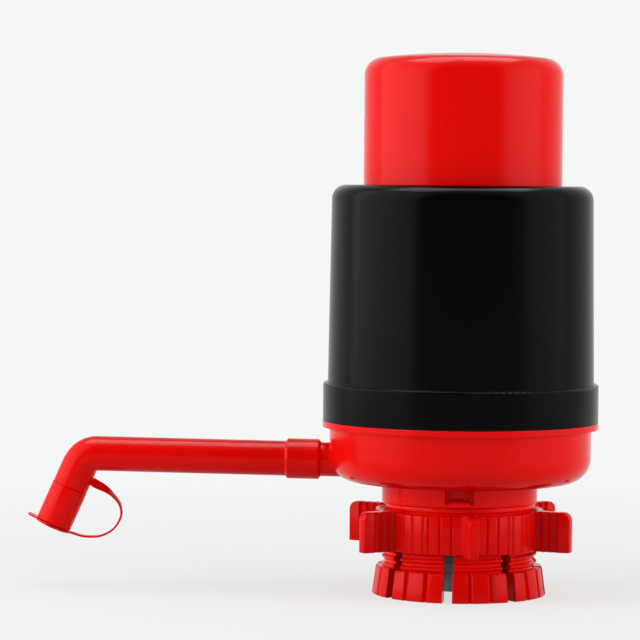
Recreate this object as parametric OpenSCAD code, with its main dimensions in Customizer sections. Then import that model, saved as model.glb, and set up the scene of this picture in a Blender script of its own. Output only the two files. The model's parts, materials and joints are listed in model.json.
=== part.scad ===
// Hand pump for a water jug: a push cap squeezes a bellows, the air drives water up and out of the spout.
// Millimetres, +Z up. The origin is on the pump's axis, in the plane of the clamp's foot.
// The spout leaves along -X, and the front of the pump faces -Y.

/* [Push cap] */
// Space between the bowl's inner wall and the push cap's side
cap_space = 10.3; // [9.8:0.1:12]
// Height of the cap that stands out of the shell at rest
cap_show = 52.7; // [45:0.1:60]
// Radius of the cap's upper edge
cap_corner_r = 7; // [4:0.5:9]
// Rise of the cap's crown above its edge
crown_rise = 1.9; // [1:0.1:4]
// Wall of the cap
cap_wall = 2.2; // [1.6:0.1:2.6]
// Width of the cap's stop flange, beyond its wall
stop_lip = 4; // [3:0.1:5]
// Thickness of the stop flange
stop_h = 3; // [2:0.1:4]

/* [Pump shell] */
// How far the foot of the shell stands out beyond the bowl's side
shell_out = 0.9; // [0.5:0.05:1.4]
// Height of the shell above its skirt
shell_h = 78.9; // [74:0.1:90]
// Draft of the shell, taken off its diameter at the top
shell_draft = 2; // [0.5:0.1:3]
// Radius of the shell's shoulder
shell_corner_r = 5.6; // [3:0.1:7]
// Wall of the shell
shell_wall = 2.2; // [1.8:0.1:2.6]
// How far the stepped skirt stands out beyond the shell
skirt_out = 1.85; // [1.5:0.05:3]
// Height of the stepped skirt
skirt_h = 15.2; // [13:0.1:20]
// Depth of the guide ring under the shell's top
guide_h = 8; // [5:0.5:12]
// Running gap between the cap and its guide, on the radius
guide_gap = 0.4; // [0.3:0.05:0.6]

/* [Base bowl] */
// How far the flange stands out beyond the skirt
flange_out = 0.15; // [0:0.05:1.5]
// Thickness of the flange
flange_h = 2.5; // [2:0.1:4]
// Outer diameter of the bowl
bowl_d = 104.6; // [98:0.2:116]
// Height of the bowl, from its underside to its flange
bowl_h = 21.6; // [20:0.1:26]
// Radius of the bowl's lower edge
bowl_corner_r = 10; // [6:0.5:12]
// Wall and floor of the bowl
bowl_wall = 2.4; // [2:0.1:2.8]
// Height of the rim that the shell's skirt slides over
rim_h = 10; // [8:0.5:12]

/* [Neck] */
// How far the neck skirt under the bowl stands out beyond the clamp's bore
neck_out = 3.1; // [2.9:0.05:3.6]
// Height of the neck skirt
neck_h = 8; // [7:0.1:10]
// Wall of the neck skirt
neck_wall = 2; // [1.6:0.1:2.2]
// Number of catch windows in the neck
window_count = 3; // [2:1:4]
// Width of a catch window
window_w = 11; // [9:0.1:14]
// Width of a catch on the clamp
catch_w = 8.2; // [6:0.1:8.6]
// How far a catch stands proud of the neck
catch_proud = 0.8; // [0.5:0.1:1.2]

/* [Bottle clamp] */
// Bore of the clamp, for the neck of the bottle
bottle_d = 56; // [52:0.2:63]
// Height of the clamp, from its foot to the neck skirt
clamp_h = 37.1; // [36:0.1:42]
// Wall of the clamp, out to half the depth of its thread
clamp_wall = 2.4; // [2.2:0.05:3]
// How far the clamp's foot stands out beyond the thread at the bottom
foot_bottom_out = 4.4; // [3.4:0.1:5.6]
// How far the clamp's foot stands out beyond the thread at the top
foot_top_out = 2.8; // [2:0.1:3.3]
// Height of the foot
foot_h = 11.4; // [8:0.1:12]
// Height of the cone above the foot, on which the nut squeezes the fingers
cone_h = 2.2; // [1:0.1:3]
// Number of slots between the clamp's fingers
slot_count = 8; // [4:1:10]
// Width of a slot
slot_w = 4; // [2:0.1:5]
// Height of the slots
slot_h = 31; // [22:0.5:32]
// Angle from the front to the nearest slot
slot_turn = -7.5; // [-20:0.5:20]
// Number of grip panels on each finger's foot
panels_each = 3; // [2:1:4]

/* [Wing nut] */
// Wall of the nut's body, from half the depth of its thread
nut_wall = 3.3; // [2.6:0.1:4.6]
// Height of the nut's body
nut_h = 15.3; // [12:0.1:16]
// Height of the nut's underside above the foot's plane
nut_z = 18.7; // [18.2:0.1:20]
// Number of wings
wing_count = 6; // [3:1:8]
// Reach of a wing beyond the nut's body
wing_reach = 14.1; // [8:0.1:16]
// Width of a wing at its root
wing_root_w = 6.2; // [5:0.1:7]
// Width of a wing at its tip
wing_tip_w = 4; // [3:0.1:5]
// How far a wing stands above the nut's body
wing_rise = 0.7; // [0:0.1:1]
// Radius of a wing's upper outer corner
wing_corner_r = 3.2; // [1:0.1:5]
// Angle from the front to the nearest wing
wing_turn = 7; // [-20:0.5:20]

/* [Spout] */
// Height of the outlet's axis where it leaves the bowl
outlet_z = 53; // [52.6:0.1:54]
// Rise of the spout towards its bend, in degrees
spout_rise = 0.75; // [0:0.05:1.5]
// Outer diameter of the outlet nipple
nipple_d = 13.7; // [13:0.1:14]
// Length of the nipple, from the bowl's wall
nipple_len = 15.6; // [13:0.1:16]
// Outer diameter of the spout pipe
pipe_d = 14; // [13.8:0.1:14.4]
// Bore of the spout pipe
pipe_bore_d = 10; // [8:0.1:10.6]
// Outer diameter of the spout's socket
socket_d = 16.1; // [15.8:0.1:18]
// Length of the spout's socket
socket_len = 14.3; // [13.8:0.1:18]
// Gap between the bowl's wall and the spout's socket
socket_gap = 3.4; // [2:0.1:4]
// Length of the spout, from the bowl's wall to its bend
spout_len = 98.5; // [60:0.5:140]
// Angle of the bend
bend_angle = 66.8; // [40:0.1:80]
// Radius of the bend's centre line
bend_r = 7.3; // [7.3:0.1:12]
// Length of the pipe past the bend, to the tip's joint
pipe_drop = 14.5; // [13:0.1:20]
// Length of the nozzle tip
tip_len = 16.5; // [12:0.1:20]
// Outer diameter of the nozzle tip
tip_d = 14.5; // [14.4:0.1:15.4]

/* [Tip cap] */
// Diameter of the cap's lid
lid_d = 15.4; // [15:0.1:17]
// Thickness of the lid at its rim
lid_h = 0.9; // [0.7:0.1:1.5]
// Bulge of the lid at its middle
lid_bulge = 0.8; // [0.4:0.1:1.2]
// Depth of the plug under the lid
plug_h = 4; // [2:0.1:6]
// Reach of the pull tab beyond the lid
tab_reach = 3.3; // [2:0.1:5]
// Width of the pull tab
tab_w = 6; // [4:0.1:8]
// Width of the strap
strap_w = 3.7; // [3:0.1:4.5]
// Thickness of the strap
strap_t = 1; // [0.8:0.1:1.4]

/* [Dip pipe socket] */
// Bore that takes the dip pipe
dip_bore_d = 12.6; // [11:0.1:13]
// Height of the socket's mouth above the foot's plane
mouth_z = 1.5; // [0.5:0.1:3]
// Diameter of the socket's barrel
barrel_d = 16; // [15.8:0.1:17]
// Diameter of the collar round its mouth
mouth_d = 20; // [19:0.1:22]
// Height of the collar round its mouth
mouth_h = 5; // [3:0.1:7]
// Depth to which the dip pipe goes in
dip_depth = 26.5; // [15:0.5:28]
// Length of the ribbed sleeve on the barrel
sleeve_len = 16; // [10:0.5:20]
// Number of ribs on the sleeve
sleeve_ribs = 7; // [4:1:9]

/* [Bellows] */
// Gap between the bellows' crests and the bowl's inner wall
crest_gap = 3.4; // [2.6:0.1:5]
// How far the bellows' roots lie outside the cap's side
root_out = 0.9; // [0.6:0.1:1.5]
// Wall of the bellows
bellows_wall = 1.3; // [1:0.1:1.4]
// Number of folds
fold_count = 8; // [6:1:9]
// Thickness of the lips at the bellows' two ends
lip_h = 1.5; // [1.2:0.1:1.8]

/* [Inside] */
// Thickness of the valve plate
plate_h = 3; // [2.4:0.1:4]
// Thickness of the plate's gasket
gasket_h = 1.5; // [1:0.1:2]
// Thickness of the ring that clamps the bellows
clamp_ring_h = 2.5; // [2:0.1:3]
// Thickness of the plate on top of the bellows
top_plate_h = 2.5; // [2:0.1:3]
// Number of screws in the valve plate
base_screw_count = 6; // [4:2:8]
// Number of screws in the cap's plate
cap_screw_count = 4; // [3:1:6]
// Diameter of a screw's shank
screw_d = 3; // [2.5:0.1:3.5]
// Diameter of a valve's rubber flap
flap_d = 20; // [18:0.5:22]
// Thickness of a valve's flap
flap_h = 1.2; // [0.8:0.1:1.6]
// Number of air holes in the bowl's floor
air_hole_count = 6; // [4:2:8]

/* [Hidden] */
$fn = 96;

RED = "#E2201C";
BLACK = "#161616";
GREY = "#6E7072";
RUBBER = "#3A3B3D";
RUBBER_PALE = "#C9C6BC";
STEEL = "#B9BCC0";

// Clearances, one for each kind of fit
running = 0.05;        // a turning or sliding fit, on the radius
loose = 0.2;           // pieces of one body that slip together
soft_gap = 0.1;        // a soft face beside a hard one
stop_gap = 0.3;        // the cap's flange under its stop
eps = 0.01;            // overlap where one shape meets or cuts another
edge = 1;              // small rounded or bevelled edges

// Heights of the pump's main levels
neck_z = clamp_h;
bowl_z = neck_z + neck_h;
floor_z = bowl_z + bowl_wall;
flange_z = bowl_z + bowl_h;
rim_z = flange_z + flange_h;
skirt_top_z = rim_z + skirt_h;
shell_top_z = skirt_top_z + shell_h;
cap_top_z = shell_top_z + cap_show;

// Radii that several pieces share
bowl_r = bowl_d / 2;
bowl_in_r = bowl_r - bowl_wall;
cap_r = bowl_in_r - cap_space;
crest_r = bowl_in_r - crest_gap;
root_r = cap_r + root_out;
shell_r = bowl_r + shell_out;
shell_top_r = shell_r - shell_draft / 2;
skirt_r = shell_r + skirt_out;
flange_r = skirt_r + flange_out;
bottle_r = bottle_d / 2;
neck_r = bottle_r + neck_out;
neck_in_r = neck_r - neck_wall;
thread_r = bottle_r + clamp_wall;
foot_bottom_r = thread_r + foot_bottom_out;
foot_top_r = thread_r + foot_top_out;
nut_r = thread_r + nut_wall;
rim_r = bowl_r + loose;
guide_r = cap_r + guide_gap;
stem_r = 2;
screw_r = screw_d / 2;
screw_head_r = 0.95 * screw_d;
screw_head_h = screw_head_r - screw_r;

// The stack of plates that closes the bowl
ledge_z = flange_z - bowl_wall - loose;
ledge_h = 2.5;
ledge_w = 7;
plate_z = ledge_z + gasket_h;
lower_lip_z = plate_z + plate_h;
clamp_ring_z = lower_lip_z + lip_h;
stack_top_z = clamp_ring_z + clamp_ring_h;
stack_r = bowl_in_r - stop_gap;
base_screw_r = bowl_in_r - ledge_w / 2;
boss_r = screw_r + 1.9;
pilot_end = 2;
base_screw_len = 18;

// The cap's lower end and what hangs on it
stop_z = shell_top_z - guide_h - stop_gap;
cap_low_z = stop_z - stop_h;
stop_r = cap_r + stop_lip;
upper_lip_z = cap_low_z - soft_gap - lip_h;
top_plate_z = upper_lip_z - soft_gap - top_plate_h;
top_plate_r = root_r - bellows_wall - 1;
cap_screw_r = cap_r - cap_wall - boss_r + loose;
cap_boss_h = 18;
cap_screw_len = 14;
cap_vent_r = 1.5;
cap_vent_z = 5.5;

// The bellows, from the top of its lower lip to its upper lip
fold_start_z = stack_top_z + stop_gap;
fold_pitch = (upper_lip_z - fold_start_z) / fold_count;
lip_in_r = cap_screw_r - boss_r;

// Bottle clamp, catches and seals
inner_ring_r = bottle_r - 1.4;
inner_ring_wall = 4;
seal_top_z = neck_z - 2.9;
seal_h = 2.5;
seal_r = bottle_r - loose;
seal_in_r = bottle_r - 7.5;
sleeve_in_neck_r = neck_in_r - loose;
clamp_top_z = bowl_z - edge;
ledge_under_window = 1.5;
window_z = neck_z + ledge_under_window;
window_h = bowl_z - edge * 0.7 - window_z;
catch_h = 2.3;
catch_z = neck_z + soft_gap;
front = -90;

// Grooves in the nut's body, as shares of the way from one wing to midway to the next
GROOVE_SHARES = [0.4, 0.67, 0.93];

// Dip pipe socket, and the hub and water channel above it
barrel_r = barrel_d / 2;
water_r = 4.5;
channel_r = 4.2;
channel_out_r = 6;
hub_r = 9;
socket_flange_r = 10.8;
socket_flange_h = 2;
socket_seal_h = 1.5;
socket_top_z = bowl_z - socket_seal_h;
spigot_r = 6.5;
spigot_h = 8;
channel_axis_z = outlet_z - bowl_r * tan(spout_rise);
air_hole_r = 2;
air_hole_ring_r = 17;

// Spout, measured along its own axis from the bowl's outer wall
nipple_r = nipple_d / 2;
pipe_r = pipe_d / 2;
pipe_bore_r = pipe_bore_d / 2;
socket_r = socket_d / 2;
socket_end_x = socket_gap + socket_len;
socket_floor_x = nipple_len + 0.4;
o_ring_x = 10;
o_ring_w = 2.4;
o_ring_depth = 0.9;
stub_r = pipe_bore_r + 1.1;
stub_len = 8;
tip_bore_r = 4.6;
bend_step = 0.15;
bend_lap = 0.5;
tip_start = pipe_drop;
tip_end = tip_start + tip_len;
lid_x = tip_end + 0.3;
lid_r = lid_d / 2;
plug_r = tip_bore_r - running;
strap_root = 9.3;

// Route of the strap beside the nozzle: distance down the nozzle, then out from its axis
STRAP_ROUTE = [
    [strap_root, pipe_r + bend_step + stop_gap],
    [strap_root - 0.6, 14.5],
    [14.5, 23],
    [23, 23.4],
    [tip_end - 1, 16.5],
    [lid_x + lid_h / 2, lid_r + stop_gap]
];
STRAP_STEPS = 5;
STRAP_TWIST_SHARE = 0.42;

// ---------------------------------------------------------------- shared shapes

// A tube or a washer
module ring(r_out, r_in, h) {
    difference() {
        cylinder(r = r_out, h = h);
        translate([0, 0, -eps]) cylinder(r = r_in, h = h + 2 * eps);
    }
}

// Copies of a child, evenly round the axis
module around(count, turn = 0) {
    for (i = [0 : count - 1])
        rotate([0, 0, turn + i * 360 / count]) children();
}

// Holes for screws, evenly round the axis
module screw_holes(count, ring_r, hole_r, z, h) {
    around(count, 180 / count)
        translate([ring_r, 0, z - eps]) cylinder(r = hole_r, h = h + 2 * eps);
}

// Half outline of a body with a crowned top and a round upper edge, standing on z = 0.
// The edge's arc runs smoothly into the crown's much larger arc.
module crowned_outline(r, h, corner_r, rise) {
    span = r - corner_r;
    crown_r = (span * span + rise * rise) / (2 * rise);
    crown_z = h - crown_r;
    reach = crown_r - corner_r;
    corner_z = crown_z + sqrt(reach * reach - span * span);
    lean = atan2(span, corner_z - crown_z);
    square([r, corner_z]);
    translate([span, corner_z]) circle(r = corner_r);
    intersection() {
        translate([0, crown_z]) circle(r = crown_r, $fn = 720);
        polygon([
            [0, 0], [span, 0], [span, corner_z],
            [span + corner_r * sin(lean), corner_z + corner_r * cos(lean) + eps],
            [span, h + rise], [0, h + rise]
        ]);
    }
}

// Keeps the half of an outline that a revolve may use
module right_half(size) {
    intersection() {
        children();
        translate([0, -size]) square([size, 3 * size]);
    }
}

// A block between two radii, as wide as w, centred on +X
module arc_block(r_in, r_out, w, z, h) {
    intersection() {
        translate([0, 0, z]) ring(r_out, r_in, h);
        translate([0, -w / 2, z - eps]) cube([r_out + edge, w, h + 2 * eps]);
    }
}

// A flat-headed screw with its head's top at z = 0 and its point downwards
module flat_screw(length) {
    drive_r = screw_head_r * 0.35;
    point_r = screw_r * 0.3;
    difference() {
        union() {
            translate([0, 0, -screw_head_h]) cylinder(r1 = screw_r, r2 = screw_head_r, h = screw_head_h);
            translate([0, 0, screw_r - length]) cylinder(r = screw_r, h = length - screw_r);
            translate([0, 0, -length]) cylinder(r1 = point_r, r2 = screw_r, h = screw_r);
        }
        translate([0, 0, -screw_head_h / 2]) cylinder(r = drive_r, h = screw_head_h, $fn = 6);
    }
}

// Countersunk seats for the heads of flat screws whose tops lie at z
module screw_seats(count, ring_r, z) {
    around(count, 180 / count) translate([ring_r, 0, z - screw_head_h])
        cylinder(r1 = screw_r + loose, r2 = screw_head_r + loose, h = screw_head_h + eps);
}

// A rubber umbrella valve with its flap's top face at z = 0, held by a bulb above the plate
module umbrella_valve(plate) {
    bulb_r = stem_r + edge;
    bulb_h = 2.4;
    translate([0, 0, -flap_h]) cylinder(r1 = flap_d / 2 - flap_h, r2 = flap_d / 2, h = flap_h);
    translate([0, 0, -flap_h]) cylinder(r = stem_r, h = flap_h + plate + bulb_h);
    translate([0, 0, plate + soft_gap]) cylinder(r1 = bulb_r, r2 = stem_r, h = bulb_h);
}

// The holes that an umbrella valve covers, and the one for its stem
module valve_holes(z, h) {
    hole_count = 8;
    hole_r = 1.4;
    translate([0, 0, z - eps]) cylinder(r = stem_r + soft_gap, h = h + 2 * eps);
    screw_holes(hole_count, flap_d / 2 - 2.5 * hole_r, hole_r, z, h);
}

// ---------------------------------------------------------------- push cap and what moves with it

module push_cap() {
    h = cap_top_z - cap_low_z;
    color(RED) translate([0, 0, cap_low_z]) difference() {
        union() {
            difference() {
                union() {
                    rotate_extrude()
                        right_half(h) crowned_outline(cap_r, h, cap_corner_r, crown_rise);
                    cylinder(r = stop_r, h = stop_h);
                }
                translate([0, 0, -eps]) rotate_extrude() right_half(h)
                    crowned_outline(cap_r - cap_wall, h - cap_wall, cap_corner_r - cap_wall, crown_rise);
            }
            around(cap_screw_count, 180 / cap_screw_count)
                translate([cap_screw_r, 0, 0]) cylinder(r = boss_r, h = cap_boss_h);
        }
        screw_holes(cap_screw_count, cap_screw_r, screw_r + running, 0, cap_boss_h - pilot_end);
        around(cap_screw_count) translate([cap_r - cap_wall - edge, 0, cap_vent_z])
            rotate([0, 90, 0]) cylinder(r = cap_vent_r, h = cap_wall + 2 * edge);
    }
}

module bellows_top_plate() {
    color(GREY) difference() {
        translate([0, 0, top_plate_z]) cylinder(r = top_plate_r, h = top_plate_h);
        valve_holes(top_plate_z, top_plate_h);
        screw_holes(cap_screw_count, cap_screw_r, screw_r + loose, top_plate_z, top_plate_h);
        mirror([0, 0, 1]) screw_seats(cap_screw_count, cap_screw_r, -top_plate_z);
    }
}

module cap_screws() {
    color(STEEL) around(cap_screw_count, 180 / cap_screw_count)
        translate([cap_screw_r, 0, top_plate_z]) mirror([0, 0, 1]) flat_screw(cap_screw_len);
}

module inlet_valve() {
    color(RUBBER) translate([0, 0, top_plate_z - soft_gap]) umbrella_valve(top_plate_h);
}

// ---------------------------------------------------------------- bellows and shell

// Outer edge of the folds, from the lower root to the upper one
function fold_line(inset) = [
    for (i = [0 : 2 * fold_count])
        [(i % 2 == 0 ? root_r : crest_r) - inset, fold_start_z + i * fold_pitch / 2]
];
function reversed(list) = [for (i = [len(list) - 1 : -1 : 0]) list[i]];

module bellows() {
    outline = concat(
        [[stack_r, lower_lip_z], [stack_r, clamp_ring_z], [root_r, clamp_ring_z]],
        fold_line(0),
        [[root_r, upper_lip_z + lip_h], [lip_in_r, upper_lip_z + lip_h],
         [lip_in_r, upper_lip_z], [root_r - bellows_wall, upper_lip_z]],
        reversed([for (p = fold_line(bellows_wall)) if (p[1] < upper_lip_z - eps) p]),
        [[root_r - bellows_wall, lower_lip_z]]
    );
    color(RUBBER_PALE) difference() {
        rotate_extrude() polygon(outline);
        screw_holes(base_screw_count, base_screw_r, screw_r + loose, lower_lip_z, lip_h);
        screw_holes(cap_screw_count, cap_screw_r, screw_r + loose, upper_lip_z, lip_h);
    }
}

module pump_shell() {
    fillet_z = shell_top_z - shell_corner_r;
    inner_corner_r = shell_corner_r - shell_wall;
    color(BLACK) difference() {
        union() {
            difference() {
                rotate_extrude() {
                    polygon([
                        [0, skirt_top_z - eps], [shell_r, skirt_top_z - eps],
                        [shell_top_r, fillet_z], [0, fillet_z]
                    ]);
                    square_to(shell_top_r - shell_corner_r, fillet_z - eps, shell_top_z);
                    right_half(shell_top_z)
                        translate([shell_top_r - shell_corner_r, fillet_z]) circle(r = shell_corner_r);
                    square_to(skirt_r, rim_z, skirt_top_z - edge);
                    square_to(skirt_r - edge, rim_z, skirt_top_z);
                    translate([skirt_r - edge, skirt_top_z - edge]) circle(r = edge);
                }
                rotate_extrude() {
                    polygon([
                        [0, rim_z - eps], [shell_r - shell_wall, rim_z - eps],
                        [shell_r - shell_wall, skirt_top_z],
                        [shell_top_r - shell_wall, fillet_z], [0, fillet_z]
                    ]);
                    square_to(shell_top_r - shell_corner_r, fillet_z - eps, shell_top_z - shell_wall);
                    right_half(shell_top_z)
                        translate([shell_top_r - shell_corner_r, fillet_z]) circle(r = inner_corner_r);
                }
            }
            translate([0, 0, shell_top_z - guide_h]) cylinder(r = guide_r + shell_wall, h = guide_h);
        }
        translate([0, 0, shell_top_z - guide_h - eps]) cylinder(r = guide_r, h = guide_h + 2 * eps);
        translate([0, 0, rim_z - eps]) cylinder(r = rim_r + running, h = rim_h + loose + eps);
    }
}

// A rectangle of a half outline, from the axis out to r and between two heights
module square_to(r, z_low, z_high) {
    translate([0, z_low]) square([r, z_high - z_low]);
}

// ---------------------------------------------------------------- plates, valves and screws in the base

module bellows_clamp_ring() {
    color(GREY) difference() {
        translate([0, 0, clamp_ring_z]) ring(stack_r, root_r + 2 * stop_gap, clamp_ring_h);
        screw_holes(base_screw_count, base_screw_r, screw_r + loose, clamp_ring_z, clamp_ring_h);
        screw_seats(base_screw_count, base_screw_r, stack_top_z);
    }
}

module base_screws() {
    color(STEEL) around(base_screw_count, 180 / base_screw_count)
        translate([base_screw_r, 0, stack_top_z]) flat_screw(base_screw_len);
}

module valve_plate() {
    rib_w = 1.6;
    rib_h = 3;
    rib_start = flap_d / 2 + 2 * edge;
    rib_len = bowl_in_r - ledge_w - edge - rib_start;
    color(GREY) difference() {
        union() {
            translate([0, 0, plate_z]) cylinder(r = stack_r, h = plate_h);
            around(base_screw_count)
                translate([rib_start, -rib_w / 2, plate_z - rib_h]) cube([rib_len, rib_w, rib_h + eps]);
        }
        valve_holes(plate_z, plate_h);
        screw_holes(base_screw_count, base_screw_r, screw_r + loose, plate_z, plate_h);
    }
}

module plate_gasket() {
    color(RUBBER) difference() {
        translate([0, 0, ledge_z]) ring(stack_r, bowl_in_r - ledge_w, gasket_h);
        screw_holes(base_screw_count, base_screw_r, screw_r + loose, ledge_z, gasket_h);
    }
}

module outlet_valve() {
    color(RUBBER) translate([0, 0, plate_z - soft_gap]) umbrella_valve(plate_h);
}

// ---------------------------------------------------------------- base bowl

// Places its children in the spout's own frame: +X runs outwards along the spout
module spout_frame() {
    translate([-bowl_r, 0, outlet_z]) rotate([0, 0, 180]) rotate([0, -spout_rise, 0]) children();
}

// A rod along +X of the spout's frame
module rod(r, x_from, x_to) {
    translate([x_from, 0, 0]) rotate([0, 90, 0]) cylinder(r = r, h = x_to - x_from);
}

// Solid of the bowl's outside: neck, bowl with its round lower edge, flange and rim
module bowl_outside() {
    rotate_extrude() {
        square_to(neck_r, neck_z, bowl_z + bowl_wall);
        square_to(bowl_r - bowl_corner_r, bowl_z, flange_z);
        square_to(bowl_r, bowl_z + bowl_corner_r, flange_z + eps);
        translate([bowl_r - bowl_corner_r, bowl_z + bowl_corner_r]) circle(r = bowl_corner_r);
        square_to(flange_r, flange_z, rim_z);
        square_to(rim_r, rim_z - eps, rim_z + rim_h);
    }
}

// The bowl's hollow, with the same centre for its round lower edge
module bowl_hollow() {
    in_corner_r = bowl_corner_r - bowl_wall;
    rotate_extrude() {
        square_to(bowl_r - bowl_corner_r, floor_z, rim_z + rim_h + eps);
        square_to(bowl_in_r, bowl_z + bowl_corner_r, rim_z + rim_h + eps);
        translate([bowl_r - bowl_corner_r, bowl_z + bowl_corner_r]) circle(r = in_corner_r);
    }
}

module base_bowl() {
    color(RED) difference() {
        union() {
            difference() {
                bowl_outside();
                bowl_hollow();
                translate([0, 0, neck_z - eps]) cylinder(r = neck_in_r, h = neck_h + eps);
            }
            translate([0, 0, seal_top_z])
                ring(inner_ring_r, inner_ring_r - inner_ring_wall, floor_z - seal_top_z - eps);
            translate([0, 0, ledge_z - ledge_h]) ring(bowl_in_r + eps, bowl_in_r - ledge_w, ledge_h);
            around(base_screw_count, 180 / base_screw_count)
                translate([base_screw_r, 0, floor_z - eps])
                    cylinder(r = boss_r, h = ledge_z - floor_z + eps);
            spout_frame() {
                rod(nipple_r, -bowl_corner_r, nipple_len);
                rod(channel_out_r, -bowl_r, -bowl_corner_r + eps);
            }
            translate([0, 0, bowl_z + eps])
                cylinder(r = hub_r, h = channel_axis_z + channel_out_r - bowl_z);
            translate([0, 0, bowl_z - spigot_h]) cylinder(r = spigot_r, h = spigot_h + eps);
        }
        screw_holes(
            base_screw_count, base_screw_r, screw_r + running, floor_z + pilot_end, ledge_z - floor_z
        );
        around(window_count, front) translate([neck_in_r - edge, -window_w / 2, window_z])
            cube([neck_wall + 2 * edge, window_w, window_h]);
        translate([0, 0, bowl_z - spigot_h - eps])
            cylinder(r = water_r, h = channel_axis_z + water_r - bowl_z + spigot_h);
        screw_holes(air_hole_count, air_hole_ring_r, air_hole_r, bowl_z, bowl_wall);
        spout_frame() {
            rod(channel_r, -bowl_r, nipple_len + eps);
            translate([o_ring_x - o_ring_w / 2, 0, 0]) rotate([0, 90, 0])
                ring(nipple_r + edge, nipple_r - o_ring_depth, o_ring_w);
        }
    }
}

// ---------------------------------------------------------------- dip pipe socket

module pipe_socket() {
    dip_r = dip_bore_d / 2;
    bevel = 0.8;
    flange_low_z = socket_top_z - socket_flange_h;
    color(GREY) difference() {
        union() {
            translate([0, 0, mouth_z]) cylinder(r = mouth_d / 2, h = mouth_h);
            translate([0, 0, mouth_z]) cylinder(r = barrel_r, h = socket_top_z - mouth_z);
            translate([0, 0, flange_low_z]) cylinder(r = socket_flange_r, h = socket_flange_h);
        }
        translate([0, 0, mouth_z - eps]) cylinder(r = water_r, h = socket_top_z);
        translate([0, 0, bowl_z - spigot_h - loose]) cylinder(r = spigot_r + running, h = spigot_h);
        translate([0, 0, mouth_z - eps]) cylinder(r = dip_r, h = dip_depth + eps);
        translate([0, 0, mouth_z - eps]) cylinder(r1 = dip_r + bevel, r2 = dip_r, h = bevel);
    }
}

module socket_seal() {
    color(RUBBER) translate([0, 0, socket_top_z]) ring(socket_flange_r, spigot_r + soft_gap, socket_seal_h);
}

module pipe_sleeve() {
    start_z = mouth_z + mouth_h;
    pitch = sleeve_len / sleeve_ribs;
    groove_w = 0.45 * pitch;
    groove_depth = 0.7;
    sleeve_r = mouth_d / 2 - loose;
    color(RUBBER) difference() {
        translate([0, 0, start_z]) ring(sleeve_r, barrel_r + running, sleeve_len);
        for (i = [1 : sleeve_ribs - 1])
            translate([0, 0, start_z + i * pitch - groove_w / 2])
                ring(sleeve_r + edge, sleeve_r - groove_depth, groove_w);
    }
}

// ---------------------------------------------------------------- bottle clamp, seal and wing nut

module bottle_seal() {
    color(RUBBER) translate([0, 0, seal_top_z - seal_h]) ring(seal_r, seal_in_r, seal_h);
}

// One catch of the clamp, reaching through its window and down over the neck, on +X
module clamp_catch() {
    tongue_z = window_z + soft_gap;
    tongue_h = catch_z + catch_h - tongue_z;
    arc_block(sleeve_in_neck_r - edge, neck_r + catch_proud, catch_w, tongue_z, tongue_h);
    arc_block(neck_r + soft_gap, neck_r + catch_proud, catch_w, catch_z, catch_h);
}

module bottle_clamp() {
    lead_in = 1.2;
    panel_count = slot_count * panels_each;
    foot_lean = atan((foot_bottom_r - foot_top_r) / foot_h);
    groove_w = 1.6;
    color(RED) difference() {
        union() {
            cylinder(r1 = foot_bottom_r, r2 = foot_top_r, h = foot_h);
            translate([0, 0, foot_h - eps]) cylinder(r1 = foot_top_r, r2 = thread_r - eps, h = cone_h);
            cylinder(r = thread_r, h = neck_z - loose);
            cylinder(r = sleeve_in_neck_r, h = clamp_top_z);
            around(window_count, front) clamp_catch();
        }
        translate([0, 0, -eps]) cylinder(r = bottle_r, h = seal_top_z + eps);
        translate([0, 0, -eps]) cylinder(r = inner_ring_r + loose, h = clamp_top_z + 2 * eps);
        translate([0, 0, -eps]) cylinder(r1 = bottle_r + lead_in, r2 = bottle_r, h = lead_in);
        around(slot_count, front + slot_turn)
            translate([inner_ring_r - edge, -slot_w / 2, -eps]) cube([foot_bottom_r, slot_w, slot_h + eps]);
        around(panel_count, front + slot_turn)
            translate([foot_bottom_r, 0, -eps]) rotate([0, -foot_lean, 0])
                rotate([0, 0, 45]) translate([-groove_w / 2, -groove_w / 2, -edge])
                    cube([groove_w, groove_w, foot_h + 2 * edge]);
    }
}

// Outline of one wing seen from above, on +X
module wing_plan(root_r, tip_r) {
    polygon([
        [root_r, -wing_root_w / 2], [tip_r, -wing_tip_w / 2],
        [tip_r, wing_tip_w / 2], [root_r, wing_root_w / 2]
    ]);
}

// One wing: its plan cut to a side view with a round upper outer corner
module wing(h) {
    root_r = nut_r - edge;
    tip_r = nut_r + wing_reach;
    intersection() {
        linear_extrude(h) wing_plan(root_r, tip_r);
        translate([0, wing_root_w, 0]) rotate([90, 0, 0]) linear_extrude(2 * wing_root_w) {
            square([tip_r, h - wing_corner_r]);
            square([tip_r - wing_corner_r, h]);
            translate([tip_r - wing_corner_r, h - wing_corner_r]) circle(r = wing_corner_r);
        }
    }
}

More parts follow.
